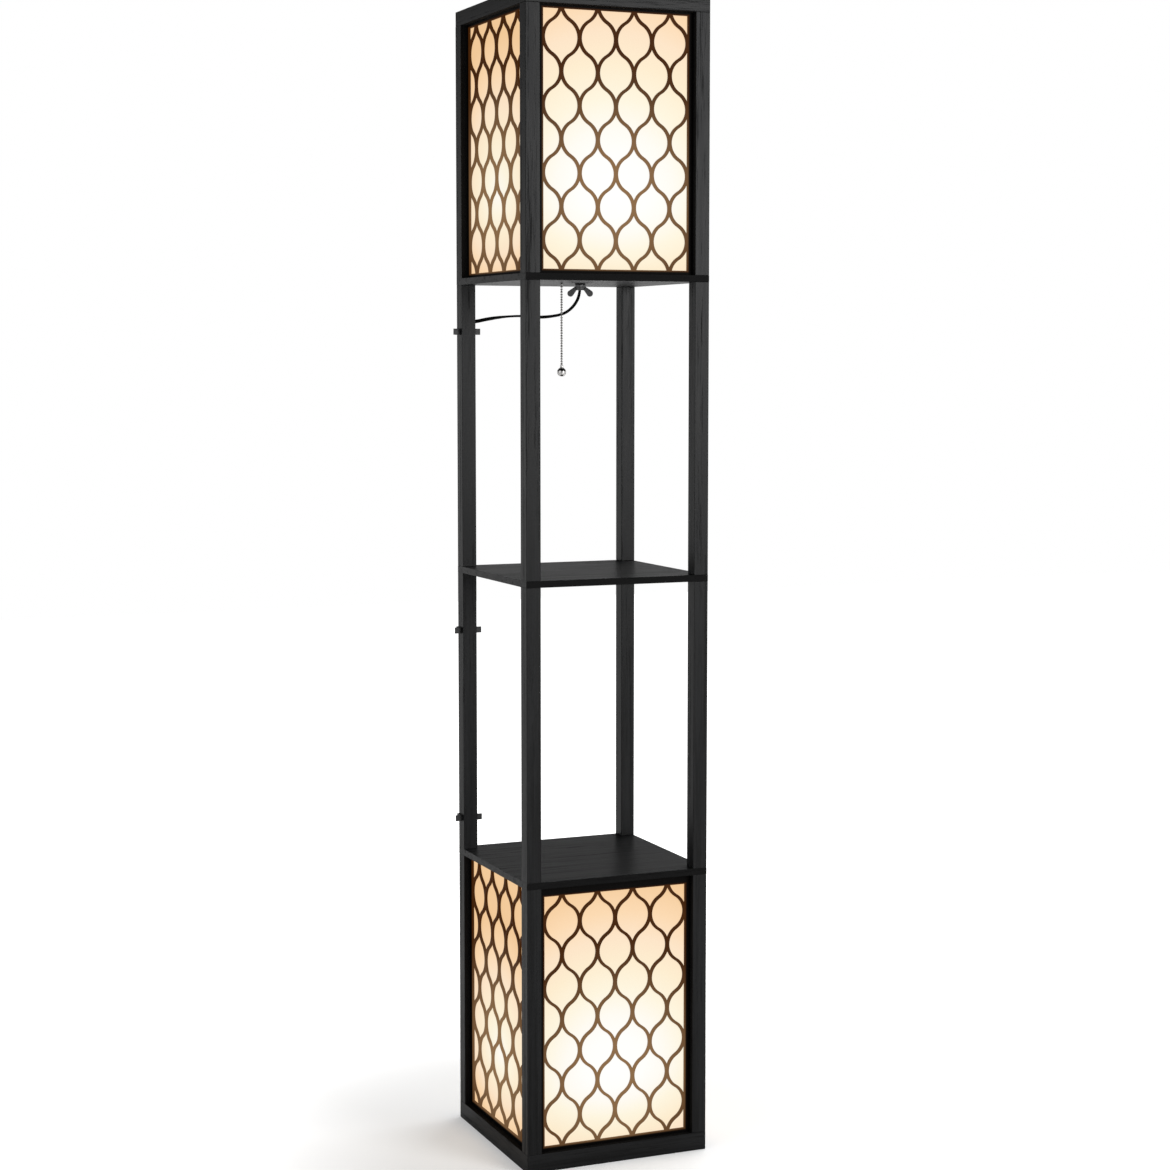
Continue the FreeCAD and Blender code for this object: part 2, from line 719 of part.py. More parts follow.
def wing_nut(thread):
    """A nut with two wings that slant out and down, with round ends."""
    length = size("wing_nut_length")
    radius = size("wing_nut_radius")
    bottom = upper_shelf_bottom - size("wing_nut_gap") - length
    foot = radius - size("wing_nut_taper")
    neck = length - size("wing_nut_collar")
    section = [(thread, 0.0), (foot, 0.0), (radius, neck), (radius, length), (thread, length)]
    pieces = [turned("wing_nut_hub", section, z=bottom)]
    reach = size("wing_length")
    width = size("wing_width")
    thick = size("wing_thickness")
    tip = size("wing_tip_radius")
    root = size("wing_root_reach").value
    for side, turn in (("left", WING_TURN + 180.0), ("right", WING_TURN)):
        facing = FreeCAD.Rotation(FreeCAD.Vector(0, 0, 1), turn)
        slope = FreeCAD.Rotation(FreeCAD.Vector(0, 1, 0), WING_SLOPE)
        start = facing.multVec(FreeCAD.Vector(root, 0.0, 0.0))
        frame = FreeCAD.Placement(start, facing.multiply(slope))
        blade = doc.addObject("Part::Box", "wing_blade_" + side)
        bind(blade, {"Length": reach, "Width": thick, "Height": width})
        blade_corner = FreeCAD.Vector(0.0, -thick.value / 2.0, -width.value / 2.0)
        blade.Placement = frame.multiply(FreeCAD.Placement(blade_corner, FreeCAD.Rotation()))
        end = doc.addObject("Part::Cylinder", "wing_end_" + side)
        bind(end, {"Radius": tip, "Height": thick})
        end_centre = FreeCAD.Vector(reach.value, thick.value / 2.0, 0.0)
        across = FreeCAD.Rotation(FreeCAD.Vector(1, 0, 0), 90.0)
        end.Placement = frame.multiply(FreeCAD.Placement(end_centre, across))
        for piece in (blade, end):
            height = bottom + size("wing_root_rise") + piece.Placement.Base.z
            bind(piece, {"Placement.Base.z": height})
            pieces.append(piece)
    lowest = bottom - reach * 2.0
    above = cylinder("wing_nut_top", radius * 4.0, radius, z=bottom + length)
    bore = cylinder("wing_nut_thread", thread, length + reach * 2.0 + CUT_MARGIN, z=lowest)
    return cut("wing_nut", fuse("wing_nut_whole", pieces), group("wing_nut_tools", [above, bore]))


# ---------------------------------------------------------------- pull chain


def bead_string(count, top):
    """Beads on a wire, hanging from the middle of the top bead, turned in one go about the chain's axis."""
    radius = bead_radius.value
    wire = size("chain_wire_radius").value
    pitch = chain_pitch.value
    half_joint = math.sqrt(radius ** 2 - wire ** 2)
    edges = []
    previous = FreeCAD.Vector(0.0, 0.0, top + radius)
    axis_top = previous
    for index in range(count):
        centre = top - index * pitch
        last = index == count - 1
        side = FreeCAD.Vector(radius, 0.0, centre)
        end = FreeCAD.Vector(wire, 0.0, centre - half_joint)
        if last:
            end = FreeCAD.Vector(0.0, 0.0, centre - radius)
        edges.append(Part.Arc(previous, side, end).toShape())
        previous = end
        if not last:
            following = FreeCAD.Vector(wire, 0.0, centre - pitch + half_joint)
            edges.append(Part.LineSegment(end, following).toShape())
            previous = following
    edges.append(Part.LineSegment(previous, axis_top).toShape())
    section = Part.Face(Part.Wire(edges))
    solid = section.revolve(FreeCAD.Vector(), FreeCAD.Vector(0, 0, 1), 360.0)
    return solid if solid.Volume > 0 else solid.reversed()


def pull_chain():
    """The chain in its three stretches, and the ball on its end."""
    pivot = upper_shelf_bottom - size("chain_pivot_drop")
    pitch = chain_pitch.value
    inside = size("chain_pivot_drop") + shelf_thickness + size("chain_arm_rise")
    above = int(inside.value / pitch)
    ball_radius = size("pull_ball_radius")
    stretches = {
        "pull_chain_top": (above + 1, above * pitch),
        "pull_chain_link": (LINK_BEAD_COUNT, -pitch),
        "pull_chain_drop": (BEAD_COUNT, -(LINK_BEAD_COUNT + 1) * pitch),
    }
    for name, (count, top) in stretches.items():
        stretch = doc.addObject("Part::Feature", name)
        stretch.Shape = bead_string(count, top)
        node(name, place(stretch, chain_x, chain_y, pivot))
    beads_below = BEAD_COUNT + LINK_BEAD_COUNT
    neck_top = pivot - chain_pitch * beads_below - bead_radius - size("pull_ball_gap")
    neck_length = size("pull_ball_neck_length")
    ball_centre = neck_top - neck_length - ball_radius
    ball = sphere("pull_ball_round", ball_radius, chain_x, chain_y, ball_centre)
    neck = cylinder("pull_ball_neck", size("pull_ball_neck_radius"), neck_length + ball_radius,
                    chain_x, chain_y, ball_centre)
    node("pull_ball", fuse("pull_ball", [ball, neck]))


# ---------------------------------------------------------------- cord, clips, coil and plug


def arc_between(start, corner, end):
    """The arc from start to end whose end tangents meet at corner, both ends being equally far from it."""
    middle = (start + end) * 0.5
    half_turn = (corner - start).getAngle(end - corner) / 2.0
    top = middle + (corner - middle) * (math.tan(half_turn / 2.0) / math.tan(half_turn))
    return Part.Arc(start, top, end).toShape()


def rounded_route(points):
    """Straight runs joined by tangent arcs, each as large as its two runs allow. Gives the edges and
    the radii."""
    reach_share = 0.45
    vectors = [FreeCAD.Vector(*point) for point in points]
    edges = []
    radii = []
    previous = vectors[0]
    for before, corner, after in zip(vectors, vectors[1:], vectors[2:]):
        shorter = min((corner - before).Length, (after - corner).Length)
        reach = reach_share * shorter
        half_turn = (corner - before).getAngle(after - corner) / 2.0
        radii.append(reach / math.tan(half_turn))
        start = corner + (before - corner).normalize() * reach
        end = corner + (after - corner).normalize() * reach
        edges.append(Part.LineSegment(previous, start).toShape())
        edges.append(arc_between(start, corner, end))
        previous = end
    edges.append(Part.LineSegment(previous, vectors[-1]).toShape())
    return edges, radii


def tube(edges, heading):
    """A round tube of the cord's radius along edges, and the length of its middle line."""
    path = Part.Wire(edges)
    start = edges[0].Vertexes[0].Point
    ring = Part.Wire(Part.Circle(start, heading, cord_radius.value).toShape())
    solid = path.makePipeShell([ring], True, False)
    return solid, path.Length


def compare_volume(name, solid, length):
    """Prints a tube's length and its volume against its section times its length."""
    expected = math.pi * cord_radius.value ** 2 * length
    print("%s: length %.1f, volume over expected %.4f" % (name, length, solid.Volume / expected))


def biarc(start, heading, end, end_heading):
    """Two tangent arcs in space between two points with given headings."""
    across = end - start
    both = heading + end_heading
    scale = 2.0 * (1.0 - heading.dot(end_heading))
    reach = (-across.dot(both) + math.sqrt(across.dot(both) ** 2 + scale * across.dot(across))) / scale
    first = start + heading * reach
    second = end - end_heading * reach
    joint = (first + second) * 0.5
    return [arc_between(start, first, joint), arc_between(joint, second, end)]


def coil_edges(start):
    """Two flat layers of half turns on the floor, the first winding in and the second out, joined by a
    half turn that climbs. The last half turn lies one pitch outside the first, so that the end is free."""
    lift = COIL_PITCH
    lead = 2.0 * cord_radius.value
    entry = start + FreeCAD.Vector(lead, 0.0, 0.0)
    edges = [Part.LineSegment(start, entry).toShape()]
    place_now = entry
    direction = 1.0

    def half_turn(radius):
        middle = place_now + FreeCAD.Vector(direction * radius, direction * radius, 0.0)
        end = place_now + FreeCAD.Vector(0.0, direction * 2.0 * radius, 0.0)
        return Part.Arc(place_now, middle, end).toShape(), end

    for step in range(TURN_COUNT_IN):
        edge, place_now = half_turn(COIL_OUTER_RADIUS - step * COIL_PITCH / 2.0)
        edges.append(edge)
        direction = -direction
    inner_radius = COIL_OUTER_RADIUS - TURN_COUNT_IN * COIL_PITCH / 2.0
    top = place_now + FreeCAD.Vector(direction * inner_radius, direction * inner_radius, lift / 2.0)
    end = place_now + FreeCAD.Vector(0.0, direction * 2.0 * inner_radius, lift)
    heading = FreeCAD.Vector(direction, 0.0, 0.0)
    steepest = FreeCAD.Vector(0.0, direction, lift / (2.0 * inner_radius)).normalize()
    edges += biarc(place_now, heading, top, steepest)
    edges += biarc(top, steepest, end, -heading)
    place_now = end
    direction = -direction
    for step in range(1, TURN_COUNT_OUT + 1):
        edge, place_now = half_turn(inner_radius + step * COIL_PITCH / 2.0)
        edges.append(edge)
        direction = -direction
    exit_point = place_now + FreeCAD.Vector(direction * lead, 0.0, 0.0)
    edges.append(Part.LineSegment(place_now, exit_point).toShape())
    return edges, exit_point


def least_gap(edges):
    """The least distance between two stretches of the coil's tube that aren't next to each other."""
    points = []
    travelled = 0.0
    for edge in edges:
        count = max(2, int(edge.Length / 2.0))
        for index in range(count):
            share = edge.FirstParameter + (edge.LastParameter - edge.FirstParameter) * index / count
            points.append((travelled + edge.Length * index / count, edge.valueAt(share)))
        travelled += edge.Length
    apart = 12.0 * cord_radius.value
    least = min((one[1] - other[1]).Length for place_one, one in enumerate(points)
                for other in points[place_one + 1:] if other[0] - one[0] > apart)
    return least - 2.0 * cord_radius.value


def cord_and_coil():
    """The cord's free stretch and its coil, both plain tubes of the cord's radius."""
    edges, radii = rounded_route(CORD_ROUTE)
    print("cord radii: " + ", ".join("%.1f" % radius for radius in radii))
    solid, length = tube(edges, FreeCAD.Vector(0, 0, -1))
    compare_volume("cord", solid, length)
    cord = doc.addObject("Part::Feature", "cord")
    cord.Shape = solid
    node("cord", cord)
    coil_start = FreeCAD.Vector(*CORD_ROUTE[-1])
    edges, coil_end = coil_edges(coil_start)
    solid, coil_length = tube(edges, FreeCAD.Vector(1, 0, 0))
    compare_volume("coil", solid, coil_length)
    print("coil: least gap to itself %.2f" % least_gap(edges))
    print("cord and coil together: %.1f" % (length + coil_length))
    coil = doc.addObject("Part::Feature", "cord_coil")
    coil.Shape = solid
    node("cord_coil", coil)
    return coil_end


def clips():
    """Three spring clips pushed onto the back left post from behind, each with finger tabs on its legs
    and an open ring for the cord."""
    gap = size("clip_clearance")
    wall = size("clip_wall")
    height = size("clip_height")
    ring_bore = size("clip_ring_bore")
    ring_radius = ring_bore + size("clip_ring_wall")
    leg_length = size("clip_leg_length")
    tab_reach = size("clip_tab_reach")
    post_x = -post_centre
    web_half = post_side * 0.5 + gap + wall
    web_front = half_side + gap
    ring_y = web_front + wall + ring_bore
    boards = {"top": middle_shelf_top, "middle": lower_shelf_top, "bottom": lower_shelf_top}
    done = []
    for level, board in boards.items():
        bottom = board + size(level + "_clip_rise") - height * 0.5
        name = "clip_" + level
        pieces = [box(name + "_web", (web_half * 2.0, wall, height), post_x - web_half, web_front, bottom),
                  cylinder(name + "_ring", ring_radius, height, post_x, ring_y, bottom)]
        for side in (-1.0, 1.0):
            leg_x = post_x + (web_half - wall * 0.5) * side - wall * 0.5
            leg_front = web_front - leg_length
            leg_sides = (wall, leg_length + wall, height)
            leg = box("%s_leg_%d" % (name, side), leg_sides, leg_x, leg_front, bottom)
            tab_x = leg_x if side > 0 else leg_x - tab_reach
            tab_sides = (tab_reach + wall, wall, height)
            tab = box("%s_tab_%d" % (name, side), tab_sides, tab_x, leg_front, bottom)
            pieces += [leg, tab]
        under = bottom - CUT_MARGIN
        through = height + 2.0 * CUT_MARGIN
        hole = cylinder(name + "_bore", ring_bore, through, post_x, ring_y, under)
        mouth_width = size("clip_ring_mouth")
        mouth_x = post_x - mouth_width * 0.5
        mouth = box(name + "_mouth", (mouth_width, ring_radius, through), mouth_x, ring_y, under)
        done.append(cut(name, fuse(name + "_whole", pieces), group(name + "_openings", [hole, mouth])))
    node("cord_clips", group("cord_clips", done))


def plug(cord_end):
    """A moulded two-pin plug lying on the floor at the cord's end, its blades upright and side by side."""
    x = sized(cord_end.x)
    y = sized(cord_end.y)
    axis_height = sized(cord_end.z)
    relief_length = size("plug_relief_length")
    relief = cone("plug_relief", size("plug_relief_small"), size("plug_relief_large"), relief_length,
                  x, y, axis_height, 90.0, (0, 1, 0))
    length = size("plug_length")
    width = size("plug_width")
    height = axis_height * 2.0
    block = box("plug_block", (length, width, height - 0.2), x + relief_length, y - width * 0.5, 0.1)
    rounded = doc.addObject("Part::Fillet", "plug_body")
    rounded.Base = block
    doc.recompute()
    rounding = size("plug_rounding").value
    rounded.Edges = [(index, rounding, rounding) for index in range(1, len(block.Shape.Edges) + 1)]
    pieces = [relief, rounded]
    blade_start = x + relief_length + length
    for side in (-1.0, 1.0):
        middle_y = y + size("blade_spacing") * (0.5 * side)
        thickness = size("blade_thickness")
        blade_width = size("blade_width")
        root = size("blade_root")
        blade_sides = (size("blade_length") + root, thickness, blade_width)
        pieces.append(box("plug_blade_%d" % side, blade_sides, blade_start - root,
                          middle_y - thickness * 0.5, axis_height - blade_width * 0.5))
    node("plug", fuse("plug", pieces))


# ---------------------------------------------------------------- the whole lamp


def build():
    """Builds every sub-part, from the floor up."""
    bores = joint_bores()
    base_frame(bores)
    lower_length = size("lower_lantern_length")
    upper_length = size("upper_lantern_length")
    lower_slots = panel_slots("lower", base_top, lower_length)
    upper_slots = panel_slots("upper", upper_shelf_top, upper_length)
    posts("lower_lantern_post", base_top, lower_length, bores, lower_slots)
    posts("lower_bay_post", lower_shelf_top, size("lower_bay_length"), bores)
    posts("upper_bay_post", middle_shelf_top, size("upper_bay_length"), bores)
    posts("upper_lantern_post", upper_shelf_top, upper_length, bores, upper_slots)
    shelves(bores)
    top_frame(bores)
    fasteners()
    panels("lower", base_top, lower_length)
    panels("upper", upper_shelf_top, upper_length)
    lampholder("lower", base_board_top, False)
    lampholder("upper", upper_shelf_top, True)
    bulb("lower", base_board_top)
    bulb("upper", upper_shelf_top)
    nipples_and_nuts()
    pull_chain()
    coil_end = cord_and_coil()
    clips()
    plug(coil_end)
    doc.recompute()


def check():
    """Stops if any object failed or any sub-part's shape is missing or broken."""
    for thing in doc.Objects:
        if "Invalid" in thing.State or "Error" in thing.State:
            raise RuntimeError("%s failed: %s" % (thing.Label, thing.State))
    for thing in nodes:
        if thing.Shape.isNull() or not thing.Shape.isValid() or not thing.Shape.Solids:
            raise RuntimeError("%s has no sound shape" % thing.Label)


def write():
    """Writes each sub-part to its own file."""
    for thing in nodes:
        thing.Shape.exportStep("parts/%s.step" % thing.Label)
    print("%d sub-parts, %d solids" % (len(nodes), sum(len(thing.Shape.Solids) for thing in nodes)))


build()
check()
write()
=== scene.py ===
"""Looks of the shelf floor lamp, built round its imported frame.

A square tower of black stained timber holds a lantern box at each end and two open bays between
them. Each lantern has four cut lattices in front of lit diffuser sheets. The upper lampholder's
pull chain and mains cord hang into the upper bay, and the cord runs down behind the back left post
to a coil on the floor. Everything is in metres, in the frame's own axes: Z up and -Y the front.
"""

from __future__ import annotations

import json
import logging
import math
from dataclasses import dataclass, field
from enum import Enum
from typing import Any, Callable, Mapping, Sequence, Union

import bpy
import numpy as np
from mathutils import Matrix, Vector

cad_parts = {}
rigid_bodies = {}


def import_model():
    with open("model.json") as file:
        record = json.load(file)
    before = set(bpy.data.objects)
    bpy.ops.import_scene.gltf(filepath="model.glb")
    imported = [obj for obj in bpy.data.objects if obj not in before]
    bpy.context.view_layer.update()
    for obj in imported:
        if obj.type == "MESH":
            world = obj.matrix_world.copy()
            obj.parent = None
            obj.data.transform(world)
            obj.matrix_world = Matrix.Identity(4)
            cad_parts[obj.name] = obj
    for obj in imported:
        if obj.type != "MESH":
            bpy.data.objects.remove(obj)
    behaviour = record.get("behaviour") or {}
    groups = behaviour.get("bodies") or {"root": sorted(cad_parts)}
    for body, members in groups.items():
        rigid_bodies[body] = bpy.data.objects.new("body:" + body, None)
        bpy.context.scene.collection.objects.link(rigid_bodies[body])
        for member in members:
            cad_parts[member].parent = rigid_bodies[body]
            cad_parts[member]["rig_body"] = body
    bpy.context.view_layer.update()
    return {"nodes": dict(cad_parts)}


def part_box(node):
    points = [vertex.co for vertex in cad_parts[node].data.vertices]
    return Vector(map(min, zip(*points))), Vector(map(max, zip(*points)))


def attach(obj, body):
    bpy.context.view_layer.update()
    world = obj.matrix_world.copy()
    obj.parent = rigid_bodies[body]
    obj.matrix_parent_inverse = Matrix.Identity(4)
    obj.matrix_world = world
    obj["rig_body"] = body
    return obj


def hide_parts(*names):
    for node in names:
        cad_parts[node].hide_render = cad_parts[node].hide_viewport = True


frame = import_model()

log = logging.getLogger("shelf_lamp")
Point = tuple[float, float, float]
Pair = tuple[float, float]
Colour = tuple[float, float, float, float]
Object = bpy.types.Object
WELD_DISTANCE = 2e-6
FLAT_DEG = 0.5
BEVEL_FROM_DEG = 35.0
SMOOTH_BELOW_DEG = 40.0
SEED_SIZE = 0.001


class Grain(Enum):
    """The direction that a board's grain runs in."""

    ALONG_X = "x"
    ALONG_Y = "y"
    ALONG_Z = "z"


class Level(Enum):
    """The two lanterns."""

    LOWER = "lower"
    UPPER = "upper"


class Side(Enum):
    """The four sides of the tower."""

    FRONT = "front"
    RIGHT = "right"
    BACK = "back"
    LEFT = "left"


CORNERS = ("front_left", "front_right", "back_right", "back_left")
# Widths of each lattice's border at its foot and head; the border is painted near-black as shade.
LATTICE_FOOT = 0.006
LATTICE_HEAD = {
    Level.LOWER: {Side.FRONT: 0.013, Side.RIGHT: 0.005, Side.BACK: 0.013, Side.LEFT: 0.005},
    Level.UPPER: {Side.FRONT: 0.005, Side.RIGHT: 0.005, Side.BACK: 0.005, Side.LEFT: 0.005},
}
SHEET_WARMTH = {Level.LOWER: 1.15, Level.UPPER: 1.0}


# ---------------------------------------------------------------- shader maths


class Term:
    """A shader value. Arithmetic on it adds Math nodes to its recipe."""

    def __init__(self, recipe: "Recipe", socket: bpy.types.NodeSocket) -> None:
        """Wraps one output socket of a recipe's node."""
        self.recipe = recipe
        self.socket = socket

    def _math(self, operation: str, first: "Input", second: "Input") -> "Term":
        """The result of one new Math node."""
        return self.recipe.add("ShaderNodeMath", {"operation": operation}, {0: first, 1: second})

    def __add__(self, other: "Input") -> "Term":
        """The sum."""
        return self._math("ADD", self, other)

    def __radd__(self, other: "Input") -> "Term":
        """The sum, the other way round."""
        return self._math("ADD", other, self)

    def __sub__(self, other: "Input") -> "Term":
        """The difference."""
        return self._math("SUBTRACT", self, other)

    def __rsub__(self, other: "Input") -> "Term":
        """The difference, the other way round."""
        return self._math("SUBTRACT", other, self)

    def __mul__(self, other: "Input") -> "Term":
        """The product."""
        return self._math("MULTIPLY", self, other)

    def __truediv__(self, other: "Input") -> "Term":
        """The quotient."""
        return self._math("DIVIDE", self, other)

    def __pow__(self, other: "Input") -> "Term":
        """The power."""
        return self._math("POWER", self, other)

    def __gt__(self, other: "Input") -> "Term":
        """1 where this is the greater, else 0."""
        return self._math("GREATER_THAN", self, other)

    def most(self, other: "Input") -> "Term":
        """The greater of the two."""
        return self._math("MAXIMUM", self, other)

    def least(self, other: "Input") -> "Term":
        """The lesser of the two."""
        return self._math("MINIMUM", self, other)

    def size(self) -> "Term":
        """The value without its sign."""
        return self._math("ABSOLUTE", self, 0.0)

    def wave(self) -> "Term":
        """The sine."""
        return self._math("SINE", self, 0.0)


Input = Union[Term, float, Sequence[float]]


class Recipe:
    """A material whose nodes are added in order."""

    def __init__(self, name: str) -> None:
        """Starts a material with one Principled shader.

        Args:
            name: The material's name.
        """
        self.material = bpy.data.materials.new(name)
        self.material.use_nodes = True
        self.nodes = self.material.node_tree.nodes
        self.links = self.material.node_tree.links
        self.shader = next(n for n in self.nodes if n.type == "BSDF_PRINCIPLED")

    @classmethod
    def for_world(cls, world: bpy.types.World) -> "Recipe":
        """A recipe that adds its nodes to a world.

        Args:
            world: The world, with its nodes switched on.

        Returns:
            The recipe, which has no Principled shader.
        """
        recipe = cls.__new__(cls)
        recipe.nodes = world.node_tree.nodes
        recipe.links = world.node_tree.links
        return recipe

    def add(
        self,
        kind: str,
        settings: Mapping[str, Any],
        inputs: Mapping[Union[str, int], Input],
        output: Union[str, int] = 0,
    ) -> Term:
        """Adds one node.

        Args:
            kind: The node's type.
            settings: Its settings, which are set first. The key "stops" fills a colour ramp.
            inputs: The values or links of its sockets, by name or place.
            output: The socket to give back, by name or place.

        Returns:
            The chosen output.
        """
        node = self.nodes.new(kind)
        for name, value in settings.items():
            if name == "stops":
                self._fill_ramp(node.color_ramp, value)
            else:
                setattr(node, name, value)
        for place, value in inputs.items():
            self.feed(node.inputs[place], value)
        return Term(self, node.outputs[output])

    @staticmethod
    def _fill_ramp(ramp: bpy.types.ColorRamp, stops: Sequence[tuple[float, Colour]]) -> None:
        """Gives a ramp its stops.

        Args:
            ramp: The ramp to fill.
            stops: Places from 0 to 1 with their colours.
        """
        while len(ramp.elements) < len(stops):
            ramp.elements.new(1.0)
        for element, (place, colour) in zip(ramp.elements, stops):
            element.position = place
            element.color = colour

    def feed(self, socket: bpy.types.NodeSocket, value: Input) -> None:
        """Sets or links one input socket.

        Args:
            socket: The input socket.
            value: The value or link.
        """
        if isinstance(value, Term):
            self.links.new(value.socket, socket)
        else:
            socket.default_value = value

    def set(self, **sockets: Input) -> None:
        """Sets or links the shader's own sockets.

        Args:
            sockets: Values or links by the socket's name in lower case, with _ for a space.
        """
        for name, value in sockets.items():
            socket_name = name.replace("_", " ").title().replace("Ior", "IOR")
            self.feed(self.shader.inputs[socket_name], value)

    def coordinates(self, scale: Point = (1.0, 1.0, 1.0), centre: Point = (0.0, 0.0, 0.0)) -> Term:
        """The point on the piece, in metres, moved and stretched.

        Args:
            scale: How often the pattern repeats per metre along each axis.
            centre: The point that becomes the pattern's origin.

        Returns:
            The pattern's coordinates.
        """
        point = self.add("ShaderNodeTexCoord", {}, {}, "Object")
        moved = tuple(-c * s for c, s in zip(centre, scale))
        return self.add("ShaderNodeMapping", {}, {"Vector": point, "Scale": scale, "Location": moved})

    def parts(self, vector: Term) -> tuple[Term, Term, Term]:
        """A vector's three parts.

        Args:
            vector: The vector.

        Returns:
            Its X, Y and Z.
        """
        node = self.nodes.new("ShaderNodeSeparateXYZ")
        self.links.new(vector.socket, node.inputs[0])
        return Term(self, node.outputs[0]), Term(self, node.outputs[1]), Term(self, node.outputs[2])

    def noise(self, at: Term, detail: float = 2.0, roughness: float = 0.5) -> Term:
        """Fractal noise from 0 to 1, with as many finer layers as the detail says."""
        values = {"Vector": at, "Scale": 1.0, "Detail": detail, "Roughness": roughness}
        return self.add("ShaderNodeTexNoise", {}, values, "Fac")

    def step(self, value: Input, low: float, high: float) -> Term:
        """A smooth step from 0 where the value is at low to 1 where it is at high."""
        values = {"Value": value, "From Min": low, "From Max": high, "To Min": 0.0, "To Max": 1.0}
        return self.add("ShaderNodeMapRange", {"interpolation_type": "SMOOTHSTEP"}, values)

    def blend(self, share: Input, first: Input, second: Input) -> Term:
        """A colour between two: the first where the share is 0, the second where it is 1."""
        sockets = {0: share, 6: first, 7: second}
        return self.add("ShaderNodeMix", {"data_type": "RGBA"}, sockets, 2)

    def bump(self, height: Term, depth: float, strength: float = 1.0) -> Term:
        """A surface normal that follows a height from 0 to 1, which stands for a depth in metres."""
        sockets = {"Height": height, "Distance": depth, "Strength": strength}
        return self.add("ShaderNodeBump", {}, sockets)


# ---------------------------------------------------------------- finishes


@dataclass(frozen=True)
class StainedTimber:
    """Black stained open-grained timber with a satin lacquer, and optional painted shade on its groove
    faces and rail ledges.
    """

    name: str
    grain: Grain
    dark: Colour = (0.0022, 0.0023, 0.0025, 1.0)
    light: Colour = (0.0086, 0.0089, 0.0095, 1.0)
    pore: Colour = (0.0012, 0.0012, 0.0012, 1.0)
    # Near-black: painted shade on groove faces and rail ledges, and the shelves' darker cut edges.
    shade_and_edge_dark: Colour = (0.0008, 0.0007, 0.0007, 1.0)
    streaks_per_m: float = 420.0
    streak_stretch: float = 46.0
    figures_per_m: float = 75.0
    figure_stretch: float = 14.0
    fibres_per_m: float = 1500.0
    rings_per_m: float = 190.0
    long_stretch: float = 60.0
    ring_centre: Point = (0.3, 0.2, 0.1)
    pore_range: Pair = (0.565, 0.64)
    tone_range: Pair = (0.36, 0.66)
    gloss: float = 0.34
    shine: float = 0.15
    dark_face_gloss_loss: float = 0.5
    pore_depth: float = 0.00022
    pore_strength: float = 0.55
    groove_inside: float = 0.0
    ledge_height: float = -1.0
    groove_fade: float = 0.0004
    ledge_fade: Pair = (0.0002, 0.0005)
    edge_half: float = 0.0
    edge_share: float = 0.8

    def _scale(self, per_m: float, stretch: float) -> Point:
        """A streak's repeats per metre along X, Y and Z, stretched along the grain."""
        return tuple(per_m / stretch if axis == self.grain.value else per_m for axis in "xyz")

    def material(self) -> bpy.types.Material:
        """Builds the material.

        Returns:
            The finished material.
        """
        recipe = Recipe(self.name)
        streaks = recipe.coordinates(self._scale(self.streaks_per_m, self.streak_stretch))
        figures = recipe.coordinates(self._scale(self.figures_per_m, self.figure_stretch))
        fibres = recipe.coordinates(self._scale(self.fibres_per_m, self.long_stretch))
        rings = recipe.coordinates(self._scale(self.rings_per_m, self.long_stretch), self.ring_centre)
        streak = recipe.noise(streaks, 3.0)
        figure = recipe.noise(figures, 3.0, 0.6)
        fibre = recipe.noise(fibres, 1.0)
        ring = recipe.noise(rings, 2.0)
        pore = recipe.step(ring * 0.55 + fibre * 0.45, *self.pore_range)
        tone = recipe.step(streak * 0.5 + figure * 0.5, *self.tone_range)
        colour = recipe.blend(tone, self.dark, self.light)
        colour = recipe.blend(pore * 0.75, colour, self.pore)
        height = streak * 0.35 + (1.0 - pore) * 0.65
        rough = self.gloss + tone * 0.08 + pore * 0.22 + fibre * 0.06
        # Painted shade darkens the groove faces round a panel and the rail ledges; the shelves' cut
        # edges are darker by their own finish.
        if self.groove_inside or self.ledge_height >= 0.0 or self.edge_half:
            shade_and_edge_dark = self.painted_shade_and_dark_edges(recipe)
            colour = recipe.blend(shade_and_edge_dark, colour, self.shade_and_edge_dark)
            rough = rough + shade_and_edge_dark * self.dark_face_gloss_loss
        recipe.set(base_color=colour, roughness=rough, specular_ior_level=self.shine)
        recipe.set(normal=recipe.bump(height, self.pore_depth, self.pore_strength))
        return recipe.material

    def painted_shade_and_dark_edges(self, recipe: Recipe) -> Term:
        """Where the timber is darkened and made matt: painted shade on the groove faces round a panel
        and on the rail ledges, and the darker finish of the shelves' cut edges.

        Args:
            recipe: The material's recipe.

        Returns:
            1 on the darkened faces, else 0.
        """
        across, deep, up = recipe.parts(recipe.coordinates())
        if self.edge_half:
            return (deep.size() > self.edge_half) * self.edge_share
        # Painted shade on the post faces inside the panel grooves.
        if self.groove_inside:
            inner = across.size().least(deep.size())
            return 1.0 - recipe.step(inner, self.groove_inside, self.groove_inside + self.groove_fade)
        # Painted shade on the rail's ledge at the given height.
        return 1.0 - recipe.step((up - self.ledge_height).size(), *self.ledge_fade)


